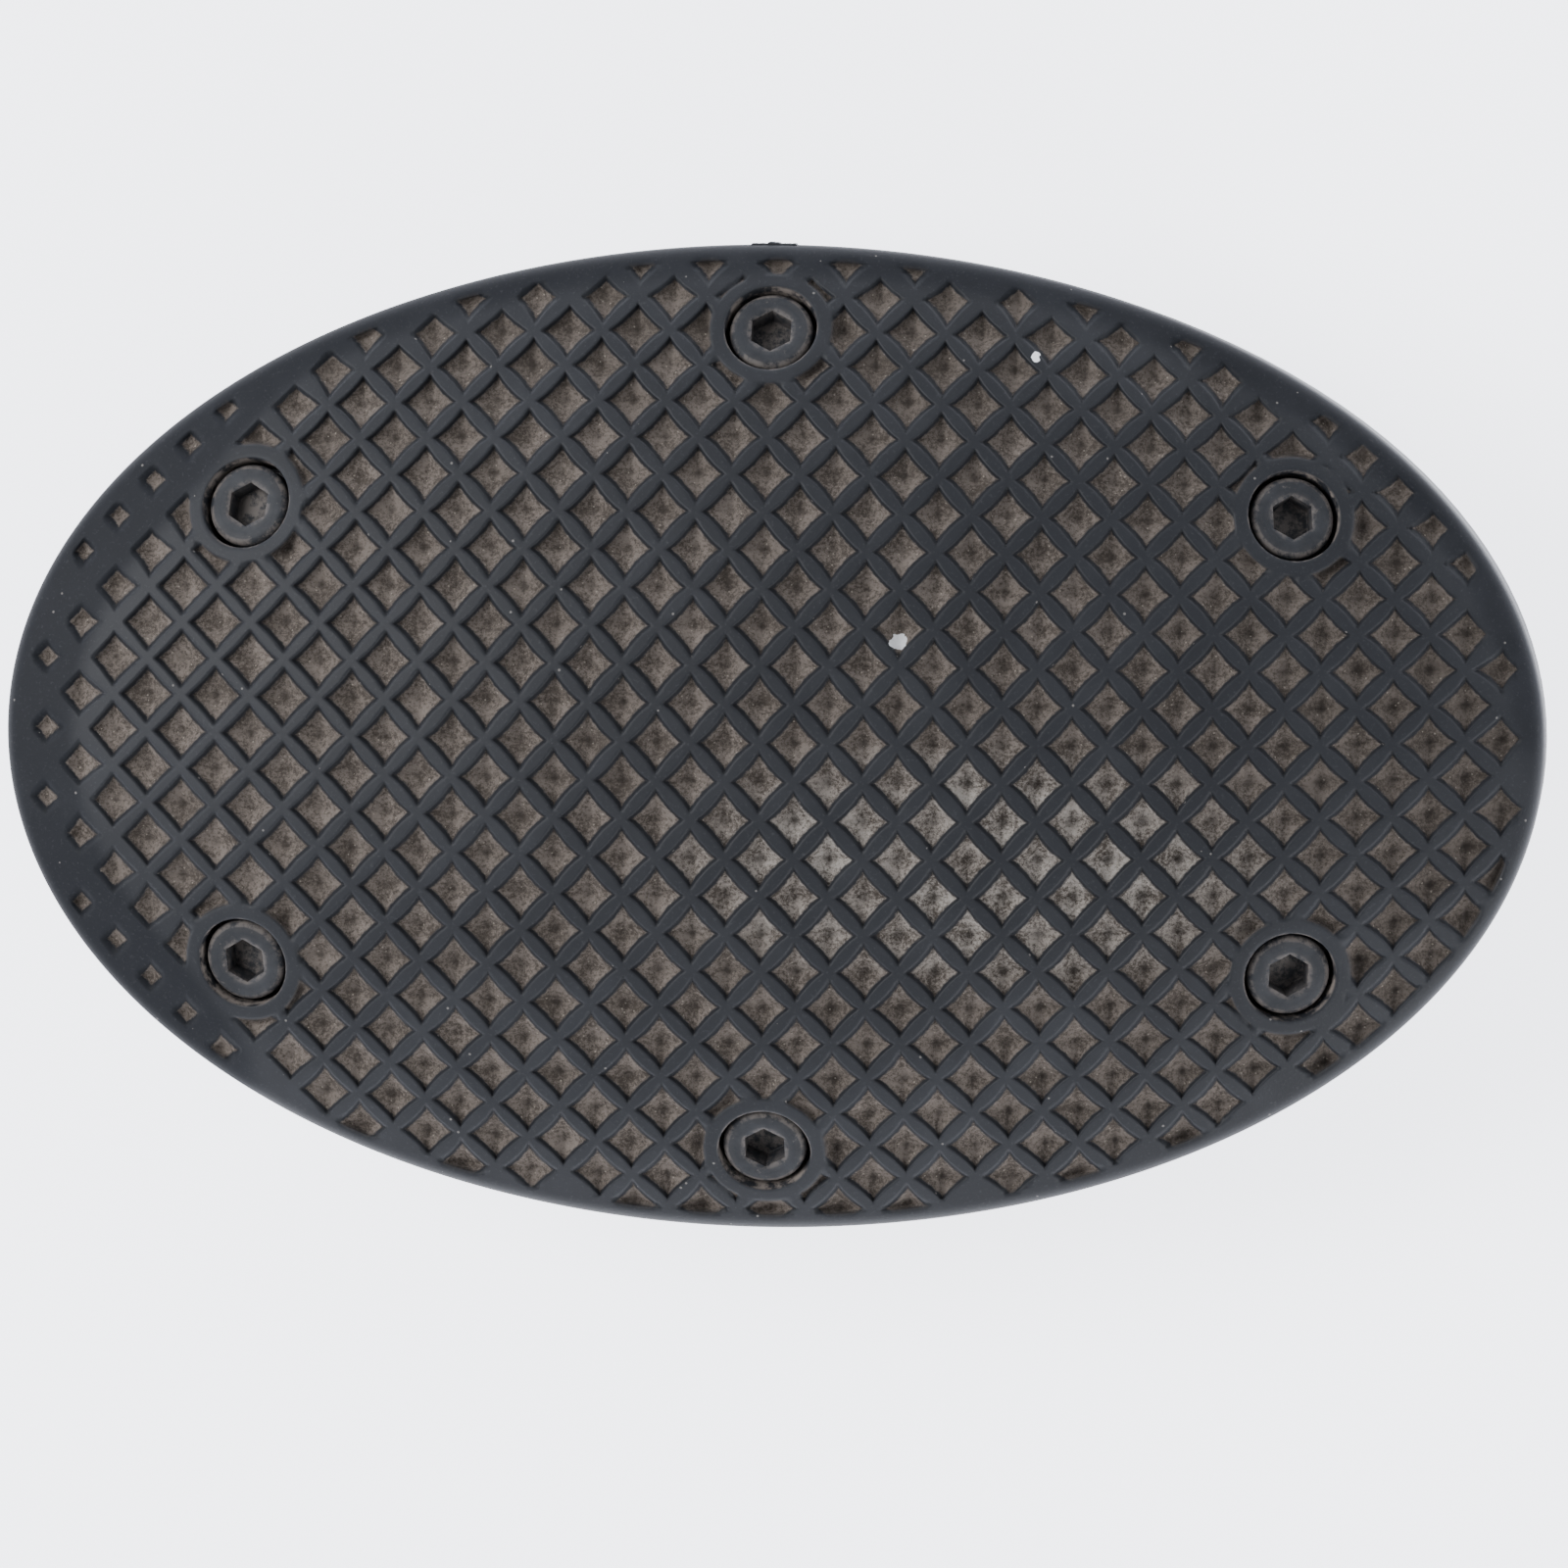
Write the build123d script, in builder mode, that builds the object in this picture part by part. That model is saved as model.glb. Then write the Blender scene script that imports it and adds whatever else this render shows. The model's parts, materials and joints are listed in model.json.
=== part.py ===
"""Oval foot control for a sewing machine: a domed treadle hinged on a low base.

Millimetres, +Z up.  The origin is on the floor, under the middle of the treadle.  +X runs
along the oval, +Y points at the machine (the toe side), and the hinge is on the heel side.
"""
import os
from math import acos, cos, hypot, pi, radians, sin, sqrt, tan

from build123d import *

# ---------------------------------------------------------------- driving dimensions
half_length = 78.45  # treadle outline, an ellipse
half_width = 49.95
rim_height = 25.0  # the tread's rim plane above the floor, at the origin
dome_radius = 84.0  # crown of the tread across the oval
rest_tilt = 3.0  # degrees the toe side stands up at rest
press_angle = 6.0  # degrees from rest to full press

pad_thickness = 4.5  # rubber tread
pad_edge = 3.0
pad_edge_round = 1.0
gate_x = -0.5  # moulding gate stub on the pad's toe-side edge
gate_width = 4.8
gate_height = 1.7
gate_drop = 0.9  # the stub's top below the rim plane
gate_proud = 0.35
shell_thickness = 2.5  # rigid shell under the tread
skirt_inset = 0.8
skirt_wall = 2.2
skirt_bottom = 14.8  # below the rim plane

tread_screw_span_x = 53.4  # the four side screws
tread_screw_span_y = 23.4
end_screw_span_y = 41.8  # the two screws on the short axis
screw_radius = 2.5  # M5
screw_head_radius = 4.25
screw_head_height = 5.0
screw_recess = 0.5
socket_flats = 4.0
socket_depth = 2.6
counterbore_radius = 4.7
screw_hole_radius = 2.75
insert_radius = 3.6
insert_cover = 0.7  # shell left above each insert
insert_length = 4.8
boss_radius = 6.0
boss_floor = 6.2  # screw bosses end this far below the rim plane

base_gap = 2.2  # all round, between the skirt and the base
base_wall = 2.4
wall_top_drop = 10.2  # the base wall's top below the rim plane, at the origin
wall_top_fall = 0.04  # the wall's top falls towards the toe
foot_height = 2.0
cover_thickness = 2.0
floor_thickness = 2.2
cover_inset = 0.6

housing_half_length = 32.0
housing_heel = -18.0
housing_toe = 22.0
housing_drop = 4.0  # the housing's top below the rim plane
housing_wall = 2.0
housing_round = 3.0

hinge_z = 14.0
pin_radius = 2.0
pin_half_length = 33.5
pin_clearance = 0.05
bush_wall = 1.5
lug_x = 24.0
lug_width = 8.0
lug_radius = 6.0
ear_gap = 0.4
ear_width = 3.0
ear_radius = 4.5
clip_width = 0.8
groove_depth = 0.5

gear_module = 0.8
sector_teeth = 100
pinion_teeth = 12
mesh_angle = -3.2  # degrees below the hinge, seen from the hinge
pinion_y = 12.73
sector_width = 3.0
pinion_width = 5.0
tooth_thinning = 0.09  # taken off each flank
sector_tooth_count = 4
sector_rim = 5.0  # solid band behind the teeth

spring_x = 48.0
spring_y = 4.0
spring_coil_radius = 5.2
spring_wire = 1.1
spring_boss_drop = 4.0  # the upper seat below the shell
spring_pitch = 3.4
spring_peg_gap = 1.6  # from the peg to the middle of the wire
peg_length = 3.0

stop_x = 36.0
stop_y = 30.0
stop_radius = 4.5
stop_gap = 0.4
stop_bumper_height = 5.0
stop_post_rim = 1.2
rest_pad_length = 2.4
rest_pad_width = 6.0
rest_pad_gap = 0.3

jack_x = 22.0
jack_z = 8.8
jack_bore_radius = 1.8
jack_bore_length = 15.0
jack_nose_radius = 3.0
jack_body_half = 3.4
jack_face_y = 42.2  # flat on the base's toe wall
jack_nose_end_y = 44.4
jack_body_end_y = 38.5
jack_back_wall = 1.6
jack_clearance = 1.1
jack_nut_length = 1.8
jack_nut_flats = 7.2
contact_width = 2.4
contact_height = 1.2
contact_plate = 0.35
contact_tail = 2.0
tunnel_wall = 1.6

foot_x = 45.0
foot_y = 26.0
foot_radius = 7.0
stem_radius = 3.0

cover_screw_radius = 1.5
cover_screw_length = 9.0
cover_screw_points = [(-64, 0), (64, 0), (-12, -37), (12, -37), (-20, 35), (5, 36)]

pot_radius = 5.8
pot_face_x = 9.5
pot_length = 7.0
pot_shaft_radius = 2.0
pot_wall = 1.2
pot_bushing_length = 5.0
wiper_disc = 1.2
tag_length = 2.0
tag_pitch = 2.4
bushing_radius = 3.0
bracket_thickness = 1.5
bracket_half_width = 7.0
bracket_foot = 5.5  # past the back of the potentiometer
bracket_screw_span = 4.0
bracket_screw_inset = 2.7
bracket_screw_cover = 0.6  # housing roof left above the screws

board_z = 6.4
board_thickness = 1.6
board_x = (4.5, 29.0)
board_y = (-15.0, 3.5)
wire_radius = 0.6
wire_entry_height = 2.2  # above the board
entry_pitch = 1.6

sector_flange_width = 16.0
sector_flange_length = 10.0
sector_flange_thickness = 2.5
sector_pad_y = 6.0
sector_pad_drop = 1.2  # below the inside of the shell
sector_screw_radius = 1.25
sector_screw_head_radius = 2.2
sector_screw_head_height = 1.6
sector_screw_grip = 2.2  # thread inside the shell
sector_screw_span = 5.0
notch_half_width = 7.0
sector_slot_half = 2.6
sector_slot_y = (-3.0, 9.0)
cover_screw_head_radius = 2.9
board_screw_radius = 1.1
board_screw_length = 6.0
board_screw_head = 1.6
board_post_inset = 3.0
board_post_radius = 2.6
capacitor_radius = 2.8
capacitor_gap = 1.5  # below the housing roof
resistor_radius = 1.0
resistor_height = 1.3
resistor_pitch = 2.7
resistor_lead_radius = 0.25
header_height = 6.0
header_length = 7.0
past = 1.0  # how far a cut runs past the face it opens
far = 20.0  # longer than anything it fills or cuts
foot_points = [(x, y) for x in (-foot_x, foot_x) for y in (-foot_y, foot_y)]

# ---------------------------------------------------------------- derived places
tilt = radians(rest_tilt)
tread_plane = Plane(
    origin=(0, 0, rim_height), x_dir=(1, 0, 0), z_dir=(0, -sin(tilt), cos(tilt))
)
dome_long_radius = dome_radius * half_length / half_width
crown_depth = sqrt(dome_radius**2 - half_width**2)
dome_rise = dome_radius - crown_depth
dome_plane = Plane(
    origin=tread_plane.from_local_coords((0, 0, -crown_depth)),
    x_dir=(1, 0, 0),
    z_dir=tread_plane.y_dir * -1,
)

wall_top_height = rim_height - wall_top_drop
housing_top = rim_height - housing_drop
bush_radius = pin_radius + bush_wall
spring_peg_radius = spring_coil_radius - spring_peg_gap

skirt_outer = (half_length - skirt_inset, half_width - skirt_inset)
skirt_inner = (skirt_outer[0] - skirt_wall, skirt_outer[1] - skirt_wall)
base_outer = (skirt_inner[0] - base_gap, skirt_inner[1] - base_gap)
base_inner = (base_outer[0] - base_wall, base_outer[1] - base_wall)
shoulder = pad_edge + shell_thickness

base_bottom = foot_height + cover_thickness
floor_top = base_bottom + floor_thickness
housing_mid_y = (housing_heel + housing_toe) / 2
housing_width = housing_toe - housing_heel
roof = housing_top - housing_wall

sector_radius = gear_module * sector_teeth / 2
pinion_radius = gear_module * pinion_teeth / 2
centre_distance = sector_radius + pinion_radius
hinge_y = pinion_y - centre_distance * cos(radians(mesh_angle))
pinion_z = hinge_z + centre_distance * sin(radians(mesh_angle))
board_top = board_z + board_thickness
entry_z = board_top + wire_entry_height
tag_end_x = pot_face_x + pot_length + tag_length
tag_y = [pinion_y + tag_pitch * step for step in (-1, 0, 1)]
tag_z = entry_z
heel_y = hinge_y - lug_radius + 0.4
heel_bottom = hinge_z - lug_radius + 0.6
sector_screw_points = [(side * sector_screw_span, sector_pad_y) for side in (-1, 1)]


def dome_height(x, y, depth):
    """Height above the rim plane of the surface that lies depth inside the crown."""
    short = dome_radius - depth
    long = dome_long_radius - depth
    return short * sqrt(1 - (x / long) ** 2 - (y / short) ** 2) - crown_depth


def pressed_height(y, z):
    """Height that a treadle point at rest height z falls to at full press."""
    turn = radians(press_angle)
    return hinge_z + (z - hinge_z) * cos(turn) - (y - hinge_y) * sin(turn)


def screw_plane(x, y):
    """Plane on the tread's crown at a screw, square to the crown."""
    z = dome_height(x, y, 0)
    normal = Vector(
        x / dome_long_radius**2,
        y / dome_radius**2,
        (z + crown_depth) / dome_radius**2,
    ).normalized()
    across = (Vector(0, 1, 0) - normal * normal.Y).normalized()
    local = Plane(origin=(x, y, z), x_dir=across, z_dir=normal)
    return Plane(tread_plane.location * local.location)


screw_points = [(0, end_screw_span_y), (0, -end_screw_span_y)] + [
    (side * tread_screw_span_x, end * tread_screw_span_y)
    for side in (-1, 1)
    for end in (-1, 1)
]
screw_planes = [screw_plane(x, y) for x, y in screw_points]
sector_pad_z = dome_height(0, sector_pad_y, pad_thickness + shell_thickness) - sector_pad_drop
seat_depth = screw_recess + screw_head_height
insert_top = seat_depth + insert_cover
insert_bottom = insert_top + insert_length


def crown(depth, mode):
    """The crown's full ellipsoid, depth inside the tread's own surface."""
    long = dome_long_radius - depth
    with BuildSketch(dome_plane) as half:
        with BuildLine():
            EllipticalCenterArc((0, 0), long, dome_radius - depth, arc_size=180)
            Line((-long, 0), (long, 0))
        make_face()
    revolve(half.sketch, axis=Axis(dome_plane.origin, (1, 0, 0)), mode=mode)


def along_screws(radius, top, bottom, mode):
    """A cylinder on every tread screw's axis, between two depths below the crown."""
    with BuildSketch(*[plane.offset(-bottom) for plane in screw_planes]) as circles:
        Circle(radius)
    extrude(circles.sketch, amount=bottom - top, mode=mode)


def disc(centre, radius, low, high, mode=Mode.ADD):
    """An upright cylinder from low to high at one or more (x, y) centres."""
    with BuildSketch(Plane.XY.offset(low)) as circles:
        with Locations(*centre):
            Circle(radius)
    extrude(circles.sketch, amount=high - low, mode=mode)


def block(x, y, z, mode=Mode.ADD):
    """A box given by its (low, high) on each axis."""
    with BuildSketch(Plane.XY.offset(z[0])) as outline:
        with Locations(((x[0] + x[1]) / 2, (y[0] + y[1]) / 2)):
            Rectangle(x[1] - x[0], y[1] - y[0])
    extrude(outline.sketch, amount=z[1] - z[0], mode=mode)


def rod_x(centres, radius, x, mode=Mode.ADD):
    """A cylinder along X between two x values at one or more (y, z) centres."""
    with BuildSketch(Plane.YZ.offset(x[0])) as circles:
        with Locations(*centres):
            Circle(radius)
    extrude(circles.sketch, amount=x[1] - x[0], mode=mode)


def rod_y(centre, radius, y, mode=Mode.ADD):
    """A cylinder along Y between two y values at an (x, z) centre."""
    with BuildSketch(Plane.ZX.offset(y[0])) as circle:
        with Locations((centre[1], centre[0])):
            Circle(radius)
    extrude(circle.sketch, amount=y[1] - y[0], mode=mode)


def save(built, name):
    """Label a finished piece and write its STEP file."""
    built.part.label = name
    export_step(built.part, f"parts/{name}.step")


os.makedirs("parts", exist_ok=True)

# ---------------------------------------------------------------- treadle
with BuildPart() as tread_pad:
    with BuildSketch(tread_plane.offset(-pad_edge)):
        Ellipse(half_length, half_width)
    extrude(amount=pad_edge + dome_rise + past)
    crown(0, Mode.INTERSECT)
    rim_axis = Axis(tread_plane.origin, tread_plane.z_dir)
    rim_edge = tread_pad.faces().sort_by(rim_axis)[-1].edges().sort_by(SortBy.LENGTH)[-1]
    fillet(rim_edge, pad_edge_round)
    crown(pad_thickness, Mode.SUBTRACT)
    along_screws(counterbore_radius, -past, seat_depth + pad_thickness, Mode.SUBTRACT)
    # moulding gate stub
    with BuildSketch(tread_plane.offset(-gate_drop)):
        with Locations((gate_x, half_width - pad_edge_round / 2 + gate_proud / 2)):
            Rectangle(gate_width, pad_edge_round + gate_proud)
    extrude(amount=-gate_height)
save(tread_pad, "tread_pad")

# the space inside the treadle, and the largest shape its shell may take
with BuildPart() as shell_limit:
    with BuildSketch(tread_plane.offset(-pad_edge)):
        Ellipse(*skirt_outer)
    extrude(amount=pad_edge + dome_rise)
    crown(pad_thickness, Mode.INTERSECT)
    with BuildSketch(tread_plane.offset(-pad_edge)):
        Ellipse(*skirt_outer)
    extrude(amount=-far)

with BuildPart() as shell_hollow:
    with BuildSketch(tread_plane.offset(-shoulder)):
        Ellipse(*skirt_inner)
    extrude(amount=shoulder + dome_rise)
    crown(pad_thickness + shell_thickness, Mode.INTERSECT)
    with BuildSketch(tread_plane.offset(-shoulder)):
        Ellipse(*skirt_inner)
    extrude(amount=-far)


def lug_profile(x):
    """Hinge lug seen along X: round the pin, up into the crown, with a heel stop."""
    depth = pad_thickness + shell_thickness / 2
    with BuildSketch(Plane.YZ.offset(x - lug_width / 2)) as profile:
        with Locations((hinge_y, hinge_z)):
            Circle(lug_radius)
        with BuildLine():
            Polyline(
                (heel_y, heel_bottom),
                (hinge_y, heel_bottom),
                (hinge_y + lug_radius, hinge_z),
                (hinge_y + lug_radius, rim_height + dome_height(x, hinge_y + lug_radius, depth)),
                (heel_y, rim_height + dome_height(x, heel_y, depth) + heel_y * sin(tilt)),
                close=True,
            )
        make_face()
    extrude(profile.sketch, amount=lug_width)


with BuildPart() as treadle_shell:
    add(shell_limit.part)
    with BuildSketch(tread_plane.offset(-skirt_bottom)):
        Rectangle(3 * half_length, 3 * half_width)
    extrude(amount=-far, mode=Mode.SUBTRACT)
    add(shell_hollow.part, mode=Mode.SUBTRACT)
    # screw bosses, spring bosses and stop posts
    along_screws(boss_radius, pad_thickness + 0.5, insert_bottom + 0.2, Mode.ADD)
    boss_span = (-spring_x, spring_x)
    spring_seat = dome_height(spring_x, spring_y, pad_thickness + shell_thickness) - spring_boss_drop
    with BuildSketch(tread_plane.offset(spring_seat)):
        with Locations(*[(x, spring_y) for x in boss_span]):
            Circle(spring_coil_radius + spring_wire)
    extrude(amount=spring_boss_drop + shell_thickness / 2)
    with BuildSketch(tread_plane.offset(-shoulder)):
        with Locations((-stop_x, stop_y), (stop_x, stop_y)):
            Circle(stop_radius)
    extrude(amount=shoulder + past)
    # nothing above hangs lower than the boss floor, apart from the skirt
    with BuildSketch(tread_plane.offset(-boss_floor)):
        Ellipse(skirt_inner[0] - 0.01, skirt_inner[1] - 0.01)
    extrude(amount=-far, mode=Mode.SUBTRACT)
    # spring pegs
    with BuildSketch(tread_plane.offset(spring_seat - peg_length)):
        with Locations(*[(x, spring_y) for x in boss_span]):
            Circle(spring_peg_radius)
    extrude(amount=peg_length)
    # sector pad
    with BuildSketch(tread_plane.offset(sector_pad_z)):
        with Locations((0, sector_pad_y)):
            Rectangle(sector_flange_width, sector_flange_length)
    extrude(amount=sector_pad_drop + shell_thickness / 2)
    for lug in (-lug_x, lug_x):
        lug_profile(lug)
    add(shell_limit.part, mode=Mode.INTERSECT)
    # holes
    along_screws(screw_hole_radius, -past, insert_top, Mode.SUBTRACT)
    along_screws(counterbore_radius, -past, seat_depth, Mode.SUBTRACT)
    along_screws(insert_radius, insert_top, insert_bottom + boss_radius, Mode.SUBTRACT)
    for lug in (-lug_x, lug_x):
        rod_x([(hinge_y, hinge_z)], bush_radius, (lug - lug_width, lug + lug_width), Mode.SUBTRACT)
    with BuildSketch(tread_plane.offset(sector_pad_z - past)):
        with Locations(*sector_screw_points):
            Circle(sector_screw_radius)
    extrude(amount=sector_screw_grip + past, mode=Mode.SUBTRACT)
    # notch in the toe side of the skirt for the lead's plug
    with BuildSketch(tread_plane.offset(-shoulder - 0.1)):
        with Locations((jack_x, half_width)):
            Rectangle(2 * notch_half_width, 2 * (half_width - jack_face_y))
    extrude(amount=-far, mode=Mode.SUBTRACT)
save(treadle_shell, "treadle_shell")

with BuildPart() as tread_screws:
    along_screws(screw_head_radius, screw_recess, seat_depth, Mode.ADD)
    chamfer(tread_screws.edges().filter_by(GeomType.CIRCLE).group_by(SortBy.RADIUS)[-1], 0.4)
    along_screws(screw_radius, seat_depth, insert_bottom, Mode.ADD)
    with BuildSketch(*[plane.offset(-screw_recess) for plane in screw_planes]):
        RegularPolygon(socket_flats / 2, 6, major_radius=False)
    extrude(amount=-socket_depth, mode=Mode.SUBTRACT)
save(tread_screws, "tread_screws")

with BuildPart() as thread_inserts:
    along_screws(insert_radius, insert_top, insert_bottom, Mode.ADD)
    along_screws(screw_radius, insert_top - past, insert_bottom + past, Mode.SUBTRACT)
save(thread_inserts, "thread_inserts")

with BuildPart() as hinge_bushes:
    for lug in (-lug_x, lug_x):
        span = (lug - lug_width / 2, lug + lug_width / 2)
        rod_x([(hinge_y, hinge_z)], bush_radius, span)
        rod_x([(hinge_y, hinge_z)], pin_radius + pin_clearance, span, Mode.SUBTRACT)
save(hinge_bushes, "hinge_bushes")

# ---------------------------------------------------------------- sector gear and pinion
pressure_angle = radians(20)


def flank_half_angle(pitch_radius, radius):
    """Half the angle a tooth covers at a radius, from the involute of the base circle."""
    base_radius = pitch_radius * cos(pressure_angle)
    half_tooth = pi * gear_module / 4 - tooth_thinning
    angle = acos(min(1, base_radius / radius))
    involute = tan(angle) - angle
    return half_tooth / pitch_radius + tan(pressure_angle) - pressure_angle - involute


def tooth_points(pitch_radius, tip, root, middle):
    """Points of one tooth round its centre angle, from root to tip and back."""
    radii = [root, max(root, pitch_radius * cos(pressure_angle)), pitch_radius, tip]
    rising = [(r, middle - flank_half_angle(pitch_radius, r)) for r in radii]
    falling = [(r, middle + flank_half_angle(pitch_radius, r)) for r in reversed(radii)]
    points = []
    for r, angle in rising + falling:
        point = (r * cos(angle), r * sin(angle))
        if not points or hypot(point[0] - points[-1][0], point[1] - points[-1][1]) > 1e-6:
            points.append(point)
    return points


addendum = 0.85 * gear_module
dedendum = 1.2 * gear_module
sector_root = sector_radius - dedendum
sector_pitch = 2 * pi / sector_teeth
sector_low = radians(mesh_angle) - 0.5 * sector_pitch
sector_high = sector_low + sector_tooth_count * sector_pitch
flange_top = tread_plane.from_local_coords((0, sector_pad_y, sector_pad_z)).Z

with BuildPart() as sector_gear:
    # toothed band, drawn round the hinge
    with BuildSketch(Plane.YZ.offset(-sector_width / 2)) as band:
        with BuildLine(mode=Mode.PRIVATE) as band_edge:
            points = [
                ((sector_root - sector_rim) * cos(a), (sector_root - sector_rim) * sin(a))
                for a in (sector_high, sector_low)
            ]
            points.append((sector_root * cos(sector_low), sector_root * sin(sector_low)))
            for tooth in range(sector_tooth_count):
                middle = radians(mesh_angle) + tooth * sector_pitch
                points += tooth_points(
                    sector_radius, sector_radius + addendum, sector_root, middle
                )
            points.append((sector_root * cos(sector_high), sector_root * sin(sector_high)))
            Polyline(*points, close=True)
        with Locations((hinge_y, hinge_z)):
            add(make_face(band_edge.edges(), mode=Mode.PRIVATE))
    extrude(amount=sector_width)
    # arm up to the flange
    arm_foot = hinge_y + (sector_root - sector_rim) * cos(sector_high)
    arm_foot_z = hinge_z + (sector_root - sector_rim) * sin(sector_high)
    with BuildSketch(Plane.YZ.offset(-sector_width / 2)):
        with BuildLine():
            Polyline(
                (arm_foot, arm_foot_z - past),
                (arm_foot + sector_rim, arm_foot_z - past),
                (arm_foot + sector_rim, flange_top - sector_flange_thickness / 2),
                (arm_foot, flange_top - sector_flange_thickness / 2),
                close=True,
            )
        make_face()
    extrude(amount=sector_width)
    with BuildSketch(tread_plane.offset(sector_pad_z - sector_flange_thickness)):
        with Locations((0, sector_pad_y)):
            Rectangle(sector_flange_width, sector_flange_length)
    extrude(amount=sector_flange_thickness)
    with BuildSketch(tread_plane.offset(sector_pad_z)):
        Rectangle(3 * sector_flange_width, 6 * sector_flange_length)
    extrude(amount=far, mode=Mode.SUBTRACT)
    with BuildSketch(tread_plane.offset(sector_pad_z + past)):
        with Locations(*sector_screw_points):
            Circle(sector_screw_radius)
    extrude(amount=-2 * past - sector_flange_thickness, mode=Mode.SUBTRACT)
save(sector_gear, "sector_gear")

with BuildPart() as sector_screws:
    with BuildSketch(tread_plane.offset(sector_pad_z - sector_flange_thickness)):
        with Locations(*sector_screw_points):
            Circle(sector_screw_radius)
    extrude(amount=sector_flange_thickness + sector_screw_grip)
    with BuildSketch(tread_plane.offset(sector_pad_z - sector_flange_thickness)):
        with Locations(*sector_screw_points):
            Circle(sector_screw_head_radius)
    extrude(amount=-sector_screw_head_height)
save(sector_screws, "sector_screws")

pinion_root = pinion_radius - dedendum
pinion_tip = pinion_radius + addendum
with BuildPart() as drive_pinion:
    facing = pi + radians(mesh_angle)  # the sector lies this way
    with BuildSketch(Plane.YZ.offset(-pinion_width / 2)):
        with BuildLine(mode=Mode.PRIVATE) as pinion_edge:
            points = []
            for tooth in range(pinion_teeth):
                middle = facing + (tooth + 0.5) * 2 * pi / pinion_teeth
                points += tooth_points(pinion_radius, pinion_tip, pinion_root, middle)
            Polyline(*points, close=True)
        with Locations((pinion_y, pinion_z)):
            add(make_face(pinion_edge.edges(), mode=Mode.PRIVATE))
            Circle(pot_shaft_radius, mode=Mode.SUBTRACT)
    extrude(amount=pinion_width)
save(drive_pinion, "drive_pinion")

# ---------------------------------------------------------------- potentiometer
pinion_centre = [(pinion_y, pinion_z)]
cavity = (pot_face_x + pot_wall, pot_face_x + pot_length - pot_wall)
disc_x = (cavity[0] + 0.4, cavity[0] + 0.4 + wiper_disc)
finger_y = pinion_y + pot_radius / 2
with BuildPart() as pot_shaft:
    rod_x(pinion_centre, pot_shaft_radius, (-pinion_width / 2 - 0.5, disc_x[1]))
    rod_x(pinion_centre, pot_radius - 2, disc_x)
    # wiper finger towards the track on the back wall
    block((disc_x[1], cavity[1] - 0.3), (finger_y - 0.5, finger_y + 0.5),
          (pinion_z - 0.6, pinion_z + 0.6))
save(pot_shaft, "pot_shaft")

with BuildPart() as pot_body:
    rod_x(pinion_centre, pot_radius, (pot_face_x, pot_face_x + pot_length))
    rod_x(pinion_centre, bushing_radius, (pot_face_x - pot_bushing_length, pot_face_x))
    rod_x(pinion_centre, pot_radius - pot_wall, cavity, Mode.SUBTRACT)
    rod_x(pinion_centre, pot_shaft_radius + pin_clearance,
          (pot_face_x - pot_bushing_length - past, cavity[0] + 0.1), Mode.SUBTRACT)
    # three solder tags on the back
    for y in tag_y:
        block((pot_face_x + pot_length - 0.5, tag_end_x), (y - 0.6, y + 0.6), (tag_z - 0.4, tag_z + 0.4))
save(pot_body, "pot_body")

bracket_x = (pot_face_x - bracket_thickness, pot_face_x)
bracket_y = (pinion_y - bracket_half_width, pinion_y + bracket_half_width)
bracket_end = pot_face_x + pot_length + bracket_foot
bracket_screw_points = [
    (bracket_end - bracket_screw_inset, pinion_y + side * bracket_screw_span)
    for side in (-1, 1)
]
with BuildPart() as pot_bracket:
    block(bracket_x, bracket_y, (pinion_z - 5.5, roof))
    block((bracket_x[0], bracket_end), bracket_y, (roof - bracket_thickness, roof))
    rod_x(pinion_centre, bushing_radius, (bracket_x[0] - past, pot_face_x + past), Mode.SUBTRACT)
    disc(bracket_screw_points, sector_screw_radius, roof - 2 * bracket_thickness, roof + past,
         Mode.SUBTRACT)
save(pot_bracket, "pot_bracket")

with BuildPart() as pot_nut:
    with BuildSketch(Plane.YZ.offset(bracket_x[0] - 1.8)):
        with Locations(*pinion_centre):
            RegularPolygon(4.4, 6, major_radius=False)
            Circle(bushing_radius, mode=Mode.SUBTRACT)
    extrude(amount=1.8)
save(pot_nut, "pot_nut")

with BuildPart() as bracket_screws:
    disc(bracket_screw_points, sector_screw_radius, roof - bracket_thickness,
         housing_top - bracket_screw_cover)
    disc(bracket_screw_points, sector_screw_head_radius, roof - 2 * bracket_thickness,
         roof - bracket_thickness)
save(bracket_screws, "bracket_screws")

# ---------------------------------------------------------------- base shell
ear_centres = [
    lug + side * (lug_width / 2 + ear_gap + ear_width / 2)
    for lug in (-lug_x, lug_x)
    for side in (-1, 1)
]
board_post_points = [
    (board_x[0] + board_post_inset, board_y[0] + board_post_inset),
    (board_x[1] - board_post_inset, board_y[0] + board_post_inset),
    (board_x[0] + board_post_inset, board_y[1] - board_post_inset),
]
tunnel_x = (jack_x - jack_body_half - jack_clearance, jack_x + jack_body_half + jack_clearance)
tunnel_roof = jack_z + jack_body_half + 0.3
rest_pad_top = heel_bottom - rest_pad_gap
stop_post_z = rim_height - shoulder + stop_y * sin(tilt)
stop_top = pressed_height(stop_y, stop_post_z) - stop_gap

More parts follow.
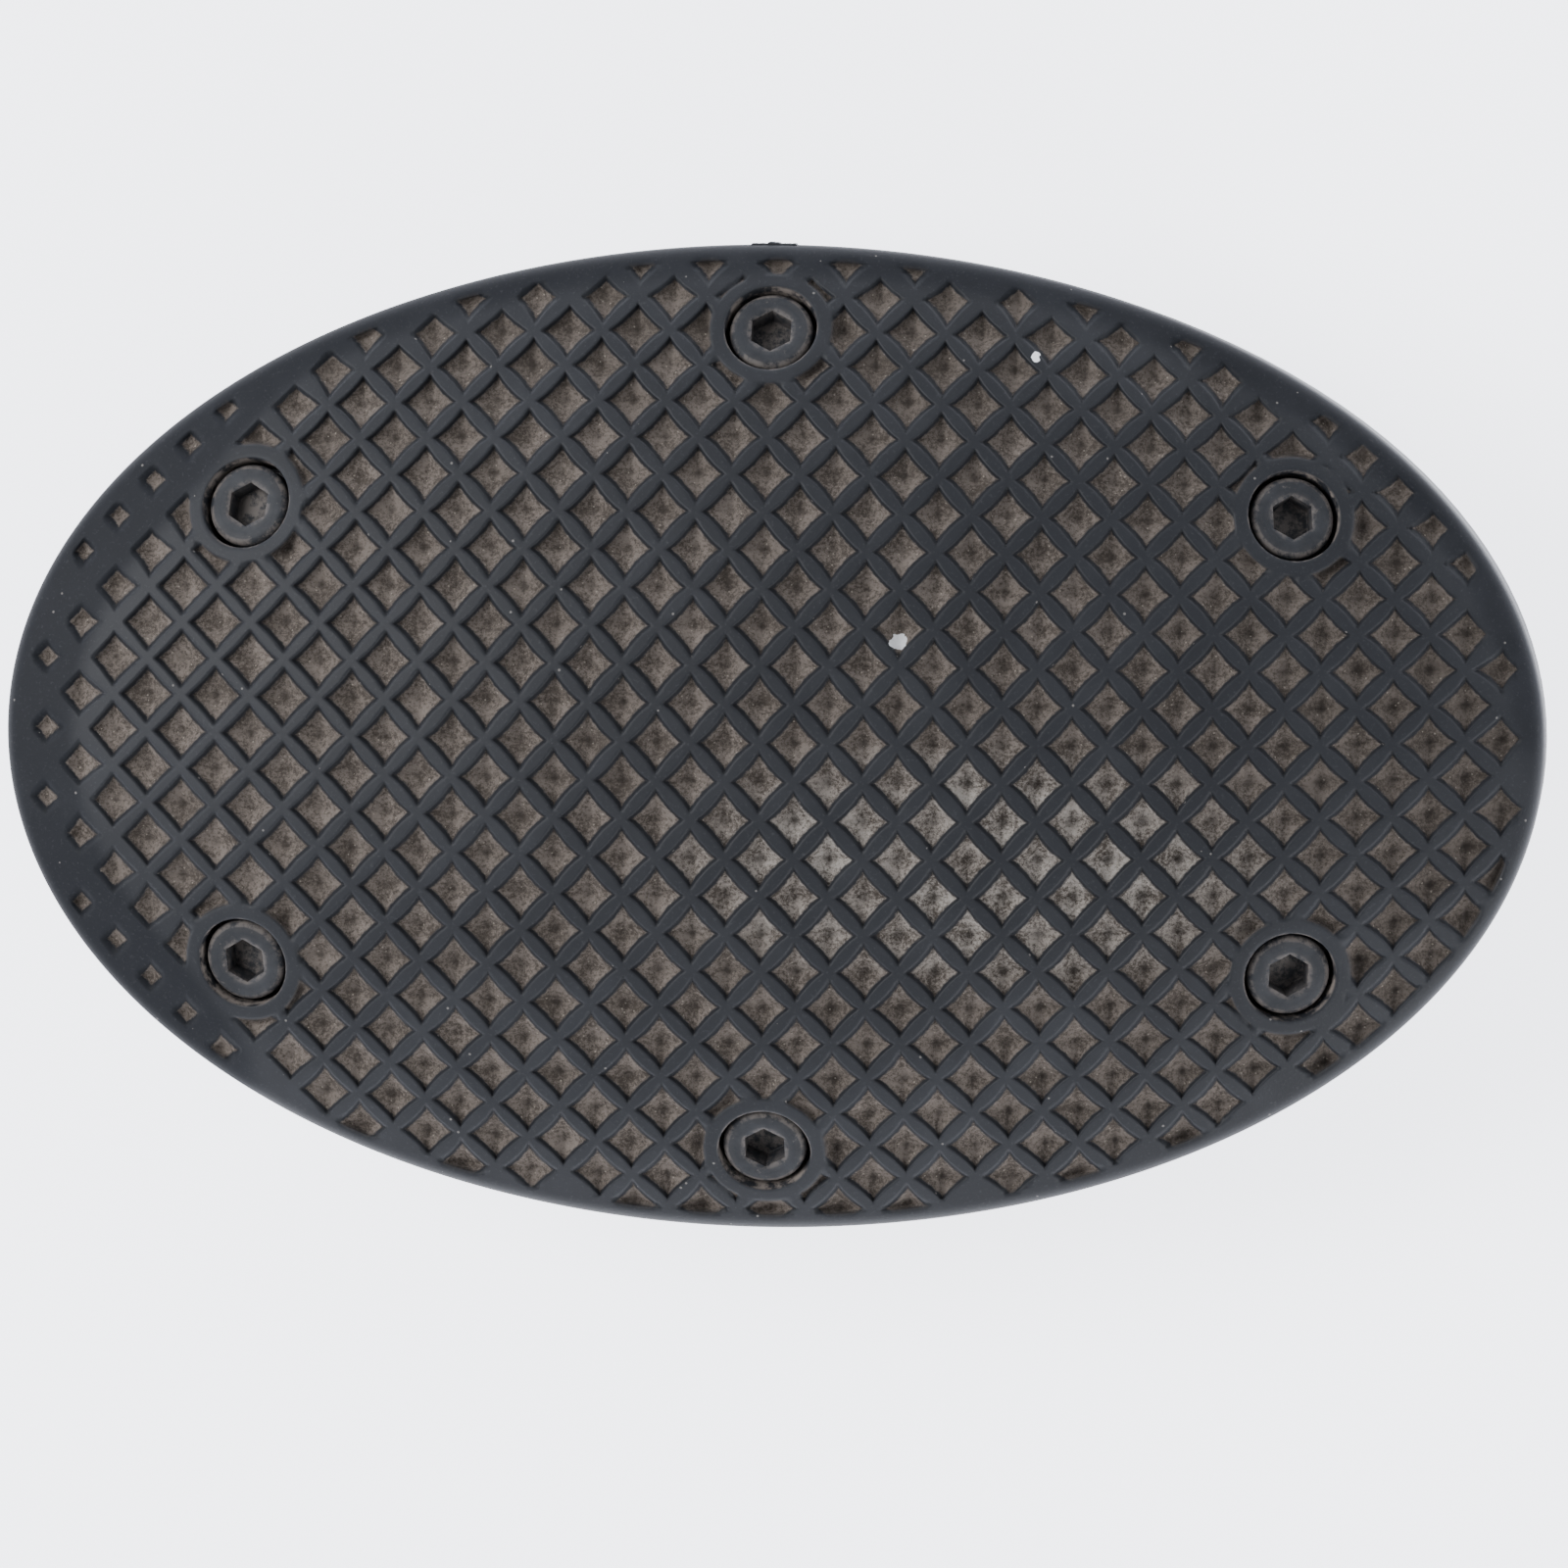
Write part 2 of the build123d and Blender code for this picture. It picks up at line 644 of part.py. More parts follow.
with BuildPart() as base_shell:
    # tray with a wall whose top falls towards the toe
    with BuildSketch(Plane.XY.offset(base_bottom)):
        Ellipse(*base_outer)
    extrude(amount=far)
    with BuildSketch(Plane.XY.offset(floor_top)):
        Ellipse(*base_inner)
    extrude(amount=far, mode=Mode.SUBTRACT)
    wall_plane = Plane(
        origin=(0, 0, wall_top_height), x_dir=(1, 0, 0), z_dir=(0, wall_top_fall, 1)
    )
    split(bisect_by=wall_plane, keep=Keep.BOTTOM)
    # central housing
    with BuildSketch(Plane.XY.offset(base_bottom)):
        with Locations((0, housing_mid_y)):
            RectangleRounded(2 * housing_half_length, housing_width, housing_round + 1)
    extrude(amount=housing_top - base_bottom)
    fillet(base_shell.faces().sort_by(Axis.Z)[-1].edges(), housing_round)
    # tunnel from the housing to the toe wall, for the jack
    block((tunnel_x[0] - tunnel_wall, tunnel_x[1] + tunnel_wall), (housing_toe - 2, 40.6),
          (base_bottom, tunnel_roof + tunnel_wall))
    block((jack_x - 5, jack_x + 5), (jack_body_end_y, jack_face_y), (base_bottom, jack_z + 4.2))
    # hinge ears
    for ear in ear_centres:
        with BuildSketch(Plane.YZ.offset(ear - ear_width / 2)):
            with Locations((hinge_y, hinge_z)):
                Circle(ear_radius)
            with Locations((hinge_y, (hinge_z + floor_top) / 2 - 0.5)):
                Rectangle(2 * ear_radius, hinge_z - floor_top + 1)
        extrude(amount=ear_width)
    # spring pegs, stop posts and screw bosses
    disc([(-spring_x, spring_y), (spring_x, spring_y)], spring_peg_radius,
         floor_top, floor_top + peg_length)
    disc([(-stop_x, stop_y), (stop_x, stop_y)], stop_radius + stop_post_rim, floor_top,
         stop_top - stop_bumper_height)
    disc(cover_screw_points, 3.4, floor_top, base_bottom + cover_screw_length - 0.5)
    # housing inside, open below
    with BuildSketch(Plane.XY.offset(base_bottom - past)):
        with Locations((0, housing_mid_y)):
            RectangleRounded(
                2 * (housing_half_length - housing_wall),
                housing_width - 2 * housing_wall,
                housing_round,
            )
    extrude(amount=roof - base_bottom + 1, mode=Mode.SUBTRACT)
    # board posts hang from the housing roof
    disc(board_post_points, board_post_radius, board_top, roof + housing_wall / 4)
    # tunnel inside, open below
    block(tunnel_x, (housing_toe - 2.5, 40.3), (base_bottom - past, tunnel_roof), Mode.SUBTRACT)
    # slot for the sector's arm
    block((-sector_slot_half, sector_slot_half), sector_slot_y, (roof - past, housing_top + past),
          Mode.SUBTRACT)
    # flat face and hole for the jack
    block((jack_x - 5.2, jack_x + 5.2), (jack_face_y, jack_face_y + 4),
          (base_bottom - past, jack_z + 8), Mode.SUBTRACT)
    rod_y((jack_x, jack_z), jack_nose_radius, (jack_body_end_y - past, jack_nose_end_y + past),
          Mode.SUBTRACT)
    # hinge pin, cover screws, board screws and bracket screws
    rod_x([(hinge_y, hinge_z)], pin_radius, (-pin_half_length - far, pin_half_length + far),
          Mode.SUBTRACT)
    disc(cover_screw_points, cover_screw_radius, base_bottom - past,
         foot_height + cover_screw_length, Mode.SUBTRACT)
    disc(board_post_points, board_screw_radius, board_z, board_z + board_screw_length,
         Mode.SUBTRACT)
    disc(bracket_screw_points, sector_screw_radius, roof - past,
         housing_top - bracket_screw_cover, Mode.SUBTRACT)
    disc(foot_points, stem_radius + 1.2, base_bottom - past, base_bottom + 0.8, Mode.SUBTRACT)
save(base_shell, "base_shell")

with BuildPart() as bottom_cover:
    with BuildSketch(Plane.XY.offset(foot_height)):
        Ellipse(base_outer[0] - cover_inset, base_outer[1] - cover_inset)
    extrude(amount=cover_thickness)
    fillet(bottom_cover.edges().group_by(Axis.Z)[0], 0.6)
    with Locations(*[(x, y, foot_height) for x, y in cover_screw_points]):
        with Locations(Location((0, 0, 0), (180, 0, 0))):
            CounterSinkHole(
                cover_screw_radius, cover_screw_head_radius, depth=2 * cover_thickness,
                counter_sink_angle=90,
            )
    disc(foot_points, stem_radius, foot_height - past, base_bottom + past, Mode.SUBTRACT)
save(bottom_cover, "bottom_cover")

with BuildPart() as cover_screws:
    disc(cover_screw_points, cover_screw_radius, foot_height + 0.1,
         foot_height + cover_screw_length)
    head_height = cover_screw_head_radius - cover_screw_radius
    with Locations(*[(x, y, foot_height) for x, y in cover_screw_points]):
        Cone(cover_screw_head_radius, cover_screw_radius, head_height,
             align=(Align.CENTER, Align.CENTER, Align.MIN))
    for angle in (0, 90):
        with BuildSketch(Plane.XY.offset(foot_height)):
            with Locations(*cover_screw_points):
                Rectangle(0.7, 3.4, rotation=angle)
        extrude(amount=0.8, mode=Mode.SUBTRACT)
save(cover_screws, "cover_screws")

with BuildPart() as foot_pads:
    disc(foot_points, foot_radius, 0, foot_height)
    fillet(foot_pads.edges().group_by(Axis.Z)[0], 0.7)
    disc(foot_points, stem_radius, foot_height, base_bottom)
    disc(foot_points, stem_radius + 0.8, base_bottom, base_bottom + 0.7)
save(foot_pads, "foot_pads")

# ---------------------------------------------------------------- hinge pin and clips
groove_x = pin_half_length - 1.6
with BuildPart() as hinge_pin:
    rod_x([(hinge_y, hinge_z)], pin_radius, (-pin_half_length, pin_half_length))
    chamfer(hinge_pin.edges().filter_by(GeomType.CIRCLE), 0.4)
    for side in (-1, 1):
        middle = side * groove_x
        with BuildSketch(Plane.YZ.offset(middle - clip_width / 2)):
            with Locations((hinge_y, hinge_z)):
                Circle(pin_radius + 1)
                Circle(pin_radius - groove_depth, mode=Mode.SUBTRACT)
        extrude(amount=clip_width, mode=Mode.SUBTRACT)
save(hinge_pin, "hinge_pin")

with BuildPart() as hinge_clips:
    for side in (-1, 1):
        with BuildSketch(Plane.YZ.offset(side * groove_x - clip_width / 2)):
            with Locations((hinge_y, hinge_z)):
                Circle(pin_radius + 2)
                Circle(pin_radius - groove_depth, mode=Mode.SUBTRACT)
            with Locations((hinge_y, hinge_z + pin_radius + 1)):
                Rectangle(2.2, 2 * pin_radius + 1, mode=Mode.SUBTRACT)
        extrude(amount=clip_width)
save(hinge_clips, "hinge_clips")

# ---------------------------------------------------------------- springs and stops
spring_top = tread_plane.from_local_coords(
    (0, spring_y - spring_coil_radius - spring_wire, spring_seat)
).Z
spring_height = spring_top - floor_top - 0.1
for name, side in (("left_spring", -1), ("right_spring", 1)):
    with BuildPart() as return_spring:
        with BuildLine():
            coil = Helix(
                spring_pitch,
                spring_height - spring_wire,
                spring_coil_radius,
                center=(side * spring_x, spring_y, floor_top + spring_wire / 2),
            )
        with BuildSketch(Plane(origin=coil @ 0, z_dir=coil % 0)):
            Circle(spring_wire / 2)
        sweep(is_frenet=True)
    save(return_spring, name)

with BuildPart() as stop_bumpers:
    disc([(-stop_x, stop_y), (stop_x, stop_y)], stop_radius, stop_top - stop_bumper_height,
         stop_top)
    fillet(stop_bumpers.edges().group_by(Axis.Z)[-1], 1.0)
save(stop_bumpers, "stop_bumpers")

with BuildPart() as rest_pads:
    for lug in (-lug_x, lug_x):
        block((lug - rest_pad_width / 2, lug + rest_pad_width / 2),
              (heel_y + 0.4, heel_y + 0.4 + rest_pad_length), (floor_top, rest_pad_top))
save(rest_pads, "rest_pads")

# ---------------------------------------------------------------- circuit board
with BuildPart() as circuit_board:
    block(board_x, board_y, (board_z, board_top))
    fillet(circuit_board.edges().filter_by(Axis.Z), 1.5)
    disc(board_post_points, board_screw_radius, board_z - past, board_top + past,
         Mode.SUBTRACT)
save(circuit_board, "circuit_board")

with BuildPart() as board_screws:
    disc(board_post_points, board_screw_radius, board_z, board_z + board_screw_length - 0.5)
    disc(board_post_points, 2 * board_screw_radius, board_z - board_screw_head, board_z)
    with BuildSketch(Plane.XY.offset(board_z - board_screw_head)):
        with Locations(*board_post_points):
            Rectangle(0.7, 2.8)
            Rectangle(2.8, 0.7)
    extrude(amount=0.7, mode=Mode.SUBTRACT)
save(board_screws, "board_screws")

capacitor_y = board_y[0] + 4.2
capacitor_points = [(board_x[0] + 9.2, capacitor_y), (board_x[0] + 15.4, capacitor_y)]
with BuildPart() as board_capacitors:
    disc(capacitor_points, capacitor_radius, board_top, roof - capacitor_gap)
    fillet(board_capacitors.edges().group_by(Axis.Z)[-1], 0.5)
save(board_capacitors, "board_capacitors")

resistor_x = [board_x[0] + 7.4 + resistor_pitch * step for step in range(3)]
resistor_z = board_top + resistor_height
resistor_ends = (board_y[0] + 8.4, board_y[1] - 0.8)
with BuildPart() as board_resistors:
    for x in resistor_x:
        rod_y((x, resistor_z), resistor_radius, (resistor_ends[0] + 1.8, resistor_ends[1] - 1.8))
        rod_y((x, resistor_z), resistor_lead_radius, resistor_ends)
        disc([(x, y) for y in resistor_ends], 0.4, board_top, resistor_z + 0.4)
save(board_resistors, "board_resistors")

entry_x = [tag_end_x + 1.8 + entry_pitch * step for step in range(5)]
header_x = (entry_x[0] - 0.8, entry_x[-1] + 0.8)
header_y = (board_y[1] - header_length - 1.0, board_y[1] - 1.0)
with BuildPart() as wire_header:
    block(header_x, header_y, (board_top, board_top + header_height))
    chamfer(wire_header.faces().sort_by(Axis.Z)[-1].edges(), 0.4)
    for x in entry_x:
        rod_y((x, entry_z), wire_radius, (header_y[1] - 3, header_y[1] + 1), Mode.SUBTRACT)
save(wire_header, "wire_header")

# ---------------------------------------------------------------- jack for the lead
body_y = (jack_nose_end_y - jack_bore_length - jack_back_wall, jack_body_end_y)
with BuildPart() as jack_socket:
    block((jack_x - jack_body_half, jack_x + jack_body_half), body_y,
          (jack_z - jack_body_half, jack_z + jack_body_half))
    fillet(jack_socket.edges().filter_by(Axis.Y), 0.6)
    rod_y((jack_x, jack_z), jack_nose_radius, (body_y[1], jack_nose_end_y))
    rod_y((jack_x, jack_z), jack_bore_radius,
          (jack_nose_end_y - jack_bore_length, jack_nose_end_y + past), Mode.SUBTRACT)
    # slots for the contact springs
    for side in (-1, 1):
        near = jack_x + side * (jack_bore_radius + 0.2)
        away = jack_x + side * (jack_body_half + past)
        block((min(near, away), max(near, away)), (body_y[0] + 4, body_y[0] + 7),
              (jack_z - 0.9, jack_z + 0.9), Mode.SUBTRACT)
save(jack_socket, "jack_socket")

with BuildPart() as jack_nut:
    with BuildSketch(Plane.ZX.offset(jack_face_y)):
        with Locations((jack_z, jack_x)):
            RegularPolygon(jack_nut_flats / 2, 12, major_radius=False)
            Circle(jack_nose_radius, mode=Mode.SUBTRACT)
    extrude(amount=jack_nut_length)
save(jack_nut, "jack_nut")

contact_y = body_y[0] + 5.5  # middle of the slots in the socket
contact_span = (contact_y - contact_width / 2, contact_y + contact_width / 2)
contact_z = (jack_z - contact_height / 2, jack_z + contact_height / 2)
contact_end = body_y[0] - contact_tail
with BuildPart() as jack_contacts:
    for side in (-1, 1):
        near = jack_x + side * (jack_bore_radius + 0.25)
        away = jack_x + side * (jack_body_half + contact_plate)
        block((min(near, away), max(near, away)), contact_span, contact_z)
        inner = jack_x + side * jack_body_half
        block((min(inner, away), max(inner, away)), (contact_end, contact_span[1]), contact_z)
save(jack_contacts, "jack_contacts")


def wire(points, bends):
    """A round wire along straight runs joined by arcs."""
    with BuildLine() as route:
        FilletPolyline(*points, radius=bends)
    with BuildSketch(Plane(origin=route.line @ 0, z_dir=route.line % 0)) as section:
        Circle(wire_radius)
    sweep(section.sketch, path=route.line)


entry_end = header_y[1] - 2.8
with BuildPart() as pot_wires:
    for x, y in zip(entry_x, tag_y):
        wire([(tag_end_x, y, tag_z), (x, y, tag_z), (x, entry_end, entry_z)], 1.2)
save(pot_wires, "pot_wires")

contact_x = [jack_x + side * (jack_body_half + contact_plate / 2) for side in (-1, 1)]
with BuildPart() as jack_wires:
    wire(
        [
            (contact_x[0], contact_end, jack_z),
            (contact_x[0], contact_end - 2.4, jack_z),
            (entry_x[3], housing_toe - 5.0, entry_z),
            (entry_x[3], entry_end, entry_z),
        ],
        1.4,
    )
    wire(
        [
            (contact_x[1], contact_end, jack_z),
            (contact_x[1], contact_end - 5.2, jack_z),
            (entry_x[4], housing_toe - 6.0, entry_z),
            (entry_x[4], entry_end, entry_z),
        ],
        1.4,
    )
save(jack_wires, "jack_wires")
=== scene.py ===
"""Looks of the oval sewing machine foot control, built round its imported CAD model."""
import json
from math import cos, pi, radians, sin

import bmesh
import bpy
import numpy as np
from mathutils import Matrix, Vector
from mathutils.geometry import delaunay_2d_cdt


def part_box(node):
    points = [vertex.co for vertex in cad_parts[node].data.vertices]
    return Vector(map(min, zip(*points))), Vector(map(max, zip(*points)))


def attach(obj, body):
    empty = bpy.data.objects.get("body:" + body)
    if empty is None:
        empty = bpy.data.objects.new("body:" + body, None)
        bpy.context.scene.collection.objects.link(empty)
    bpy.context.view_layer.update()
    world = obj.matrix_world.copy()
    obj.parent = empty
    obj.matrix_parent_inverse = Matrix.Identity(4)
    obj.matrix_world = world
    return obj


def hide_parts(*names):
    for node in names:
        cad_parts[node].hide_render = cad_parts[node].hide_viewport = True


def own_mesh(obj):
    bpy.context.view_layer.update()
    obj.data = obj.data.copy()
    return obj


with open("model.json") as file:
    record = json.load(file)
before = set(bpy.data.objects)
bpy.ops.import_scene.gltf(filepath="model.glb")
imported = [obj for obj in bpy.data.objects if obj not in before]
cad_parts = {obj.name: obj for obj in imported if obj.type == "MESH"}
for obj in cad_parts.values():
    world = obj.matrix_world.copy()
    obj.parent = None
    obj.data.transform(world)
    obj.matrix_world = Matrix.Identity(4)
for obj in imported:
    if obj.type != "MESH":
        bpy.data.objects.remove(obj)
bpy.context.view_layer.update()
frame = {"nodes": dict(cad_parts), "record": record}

MM = 0.001

# ---------------------------------------------------------------- sizes shared with the CAD model, mm
HALF_LENGTH = 78.45
HALF_WIDTH = 49.95
RIM_HEIGHT = 25.0
REST_TILT = radians(3.0)
DOME_RADIUS = 84.0
DOME_LONG_RADIUS = DOME_RADIUS * HALF_LENGTH / HALF_WIDTH
CROWN_DEPTH = (DOME_RADIUS**2 - HALF_WIDTH**2) ** 0.5
PAD_THICKNESS = 4.5
PAD_EDGE = 3.0
EDGE_ROUND = 1.0
SCREW_POINTS = [(0, 41.8), (0, -41.8)] + [(x, y) for x in (-53.4, 53.4) for y in (-23.4, 23.4)]
SCREW_RECESS = 0.5
SCREW_HEAD_RADIUS = 4.25
SCREW_HEAD_HEIGHT = 5.0
SOCKET_FLATS = 4.0
SOCKET_DEPTH = 2.6
SCREW_RADIUS = 2.5
COUNTERBORE_RADIUS = 4.7
GATE_X = -0.4  # moulding gate stub on the toe-side edge
GATE_WIDTH = 4.7
GATE_DROP = 0.95  # its top below the rim plane
GATE_HEIGHT = 1.6
GATE_PROUD = (0.13, 0.19)  # ragged between these
GATE_PROUD_MIDDLE = (0.24, 0.33)

# ---------------------------------------------------------------- waffle of the tread, mm
HALF_PITCH_X = 3.5
FIRST_COLUMN = 1.08  # columns from the middle of the tread to the first pit
FIRST_ROW = 0.04
HALF_PITCH_Y = 3.93  # along the arc of the crown
ROW_CLOSING = 0.08  # rows close up by this share towards the ends
CLOSING_AT = 70.0
COLLAR_RADIUS = 6.1
BORDER = 1.25  # smooth border inside the rim
PIT_DEPTH = 2.1
PIT_HALF = 0.402  # of a cell, centre to the top edge of the wall
FLOOR_HALF = 0.312  # of a cell, centre to the foot of the wall
SQUARE_PINCH = 0.12  # how far the ribs swell between their crossings at the left end
STAR_PINCH = 0.30  # and from the middle on
STAR_FROM = -62.0  # the swelling grows between these places along the tread
STAR_FULL = -25.0
RIM_SHRINK = 0.13  # how much smaller the pits get at the border, of a cell
SHRINK_FROM = 5.0  # and how far inside it that starts
LEFT_END = (-62.0, -45.0)  # what holds at the left end fades out between these
LEFT_SHRINK = 0.21  # the shrink at the left end, of a cell
LEFT_SHRINK_FROM = 11.5  # and how far inside the border it starts there
HEEL_SHRINK = 0.15  # share of the shrink on the heel side
HEEL_SIDE = (-14.0, 8.0)  # the heel side's share fades out between these
RIM_FADE = 0.6  # width over which the waffle fades in from the border
COLLAR_FADE = 0.5  # and from the collars
STRETCH_FROM = 46.0  # the pitch grows a little beyond this
LEFT_STRETCH = 0.035
RIGHT_STRETCH = 0.018
RISE_FROM = 54.0  # the rows bend towards the toe beyond this
RIGHT_RISE = 0.03
LEAST_PIT = -0.3  # a pit whose centre is nearer the border than this is left out
LEFT_LEAST_PIT = 0.9  # the same at the left end
LIP_WIDTH = 0.25  # rounded lip of the screw holes
LIP_DROP = 0.22

tread_to_row = (
    Matrix.Translation((0, 0, RIM_HEIGHT * MM))
    @ Matrix.Rotation(REST_TILT, 4, "X")
    @ Matrix.Diagonal((MM, MM, MM, 1))
)


def smooth(low, high, value):
    """0 below low, 1 above high, and an S between."""
    t = np.clip((value - low) / (high - low), 0, 1)
    return t * t * (3 - 2 * t)


def crown(x, y, depth=0.0):
    """Height above the rim plane of the surface depth inside the tread's crown."""
    short = DOME_RADIUS - depth
    long = DOME_LONG_RADIUS - depth
    inside = np.maximum(1 - (x / long) ** 2 - (y / short) ** 2, 0.01)
    return short * np.sqrt(inside) - CROWN_DEPTH


def crown_normal(x, y):
    """Unit normals of the crown."""
    z = crown(x, y) + CROWN_DEPTH
    n = np.stack([x / DOME_LONG_RADIUS**2, y / DOME_RADIUS**2, z / DOME_RADIUS**2], -1)
    return n / np.linalg.norm(n, axis=-1, keepdims=True)


def stretched(even):
    """Place along the tread of what an even pitch puts at even."""
    left = np.maximum(-even - STRETCH_FROM, 0)
    right = np.maximum(even - STRETCH_FROM, 0)
    return even - LEFT_STRETCH * left + RIGHT_STRETCH * right


def evened(x):
    """The inverse of stretched."""
    left = np.maximum(-x - STRETCH_FROM, 0)
    right = np.maximum(x - STRETCH_FROM, 0)
    return x + left * LEFT_STRETCH / (1 + LEFT_STRETCH) - right * RIGHT_STRETCH / (1 + RIGHT_STRETCH)


def left_end(x):
    """1 at the tread's left end, fading to 0 over LEFT_END."""
    return 1 - smooth(*LEFT_END, x)


def lattice(x, y):
    """Waffle coordinates of a tread point: whole numbers at the pit centres."""
    column = evened(x) / HALF_PITCH_X - FIRST_COLUMN
    closing = 1 - ROW_CLOSING * (x / CLOSING_AT) ** 2
    level = y - RIGHT_RISE * np.maximum(x - RISE_FROM, 0)
    arc = DOME_RADIUS * np.arcsin(np.clip(level / closing / DOME_RADIUS, -0.99, 0.99))
    row = arc / HALF_PITCH_Y - FIRST_ROW
    return (column + row) / 2, (column - row) / 2


def from_lattice(p, q):
    """The tread point at a waffle coordinate."""
    x = stretched(HALF_PITCH_X * (p + q + FIRST_COLUMN))
    closing = 1 - ROW_CLOSING * (x / CLOSING_AT) ** 2
    angle = np.clip((p - q + FIRST_ROW) * HALF_PITCH_Y / DOME_RADIUS, -1.4, 1.4)
    y = DOME_RADIUS * np.sin(angle) * closing
    return x, y + RIGHT_RISE * np.maximum(x - RISE_FROM, 0)


def screw_distance(x, y):
    """Distance from the nearest screw's axis to points on the crown."""
    points = np.stack([x, y, crown(x, y)], -1)
    best = np.full(x.shape, 1e9)
    for sx, sy in SCREW_POINTS:
        sx, sy = np.float64(sx), np.float64(sy)
        seat = np.array([sx, sy, crown(sx, sy)])
        normal = crown_normal(sx, sy)
        offset = points - seat
        along = offset @ normal
        best = np.minimum(best, np.linalg.norm(offset - along[..., None] * normal, axis=-1))
    return best


def rim_distance(x, y):
    """Distance inside the oval outline, close to the true one near the outline."""
    level = np.sqrt((x / HALF_LENGTH) ** 2 + (y / HALF_WIDTH) ** 2)
    slope = np.sqrt((x / HALF_LENGTH**2) ** 2 + (y / HALF_WIDTH**2) ** 2) / np.maximum(level, 1e-6)
    return (1 - level) / np.maximum(slope, 1e-6)


def pit_mask(x, y, p, q):
    """1 where the waffle has its full depth, 0 on the collars and the border."""
    near_rim = smooth(BORDER, BORDER + RIM_FADE, rim_distance(x, y))
    near_screw = smooth(COLLAR_RADIUS, COLLAR_RADIUS + COLLAR_FADE, screw_distance(x, y))
    centre_x, centre_y = from_lattice(np.round(p), np.round(q))
    least = LEAST_PIT + (LEFT_LEAST_PIT - LEAST_PIT) * left_end(centre_x)
    whole = rim_distance(centre_x, centre_y) > BORDER + least
    return near_rim * near_screw * whole


def pinch(x):
    """How far the ribs swell between their crossings, along the tread."""
    return SQUARE_PINCH + (STAR_PINCH - SQUARE_PINCH) * smooth(STAR_FROM, STAR_FULL, x)


def shrink(x, y):
    """How much of a cell the pits lose to the worn border."""
    inside, left = rim_distance(x, y), left_end(x)
    side = HEEL_SHRINK + (1 - HEEL_SHRINK) * smooth(*HEEL_SIDE, y)
    usual = side * RIM_SHRINK * (1 - smooth(BORDER, BORDER + SHRINK_FROM, inside))
    at_left = LEFT_SHRINK * (1 - smooth(BORDER, BORDER + LEFT_SHRINK_FROM, inside))
    return usual + left * (at_left - usual)


def pit_reach(p, q, x, y):
    """Smallest at a pit's centre, growing to 0.5 or more on the ribs."""
    a, b = np.abs(p - np.round(p)), np.abs(q - np.round(q))
    most, least = np.maximum(a, b), np.minimum(a, b)
    return most + pinch(x) * (most**2 - least**2) + shrink(x, y)


def pit_depth(p, q, x, y, mask):
    """Depth of the waffle below the ribs."""
    reach = pit_reach(p, q, x, y)
    wall = 1 - smooth(FLOOR_HALF, PIT_HALF + 0.03, reach)
    floor = np.clip(1 - reach / FLOOR_HALF, 0, 1)
    depth = PIT_DEPTH * (0.5 * wall + 0.5 * floor)
    return depth * mask


# ---------------------------------------------------------------- mesh helpers
def new_piece(name, verts, faces, body, smooth_shading=True):
    """A mesh object from row-frame points in metres, riding on a body."""
    mesh = bpy.data.meshes.new(name)
    mesh.from_pydata([tuple(v) for v in verts], [], [tuple(f) for f in faces])
    mesh.update()
    if smooth_shading:
        mesh.shade_smooth()
    piece = bpy.data.objects.new(name, mesh)
    bpy.context.scene.collection.objects.link(piece)
    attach(piece, body)
    return piece


def to_row(points):
    """Tread-frame millimetres to row-frame metres."""
    matrix = np.array(tread_to_row)
    return points @ matrix[:3, :3].T + matrix[:3, 3]


def outline(inset, count):
    """Points of the oval, moved inwards along its normal."""
    t = np.linspace(0, 2 * pi, count, endpoint=False)
    x, y = HALF_LENGTH * np.cos(t), HALF_WIDTH * np.sin(t)
    nx, ny = x / HALF_LENGTH**2, y / HALF_WIDTH**2
    size = np.hypot(nx, ny)
    return x - inset * nx / size, y - inset * ny / size


def collar_ring(point, radius, count):
    """Plan positions on the crown at a distance round a screw's axis."""
    sx, sy = np.float64(point[0]), np.float64(point[1])
    normal = crown_normal(sx, sy)
    seat = np.array([sx, sy, crown(sx, sy)])
    across = np.cross([0, 1, 0], normal)
    across /= np.linalg.norm(across)
    up = np.cross(normal, across)
    t = np.linspace(0, 2 * pi, count, endpoint=False)[:, None]
    ring = seat + radius * (np.cos(t) * across + np.sin(t) * up)
    for _ in range(3):
        gap = crown(ring[:, 0], ring[:, 1]) - ring[:, 2]
        ring = ring + (gap * normal[2])[:, None] * normal
    return ring


# ---------------------------------------------------------------- tread
# places of the mesh's lines within one cell of the waffle
CELL_STEPS = [-0.5, -0.455, -0.42, -0.39, -0.36, -0.325, -0.25, -0.12,
              0.0, 0.12, 0.25, 0.325, 0.36, 0.39, 0.42, 0.455]
RIM_COUNT = 720
RING_COUNT = 72
RING_GAP = 0.12  # mm that the lattice's points stay off the rings
UNDERSIDE_RIM = 3.0  # width of the tread's flat rim seen from below
UNDERSIDE_STEP = 4.0  # between the underside's points
UNDERSIDE_DEPTH = PAD_THICKNESS - 0.3  # below the crown
EDGE_LOOPS = ((0.0, -EDGE_ROUND - 0.8), (0.0, -PAD_EDGE + 0.3), (0.25, -PAD_EDGE))  # inset, height
# rings of points along the border, mm inside the outline, and round each screw
RIM_INSETS = [0.0, 0.08, 0.22, 0.42, 0.68, 1.0, 1.4, BORDER + 0.1, BORDER + 0.3, BORDER + 0.55]
COLLAR_RADII = [COUNTERBORE_RADIUS, 4.78, 4.92, 5.2, 5.6, 5.95, 6.15, 6.4, 6.62]


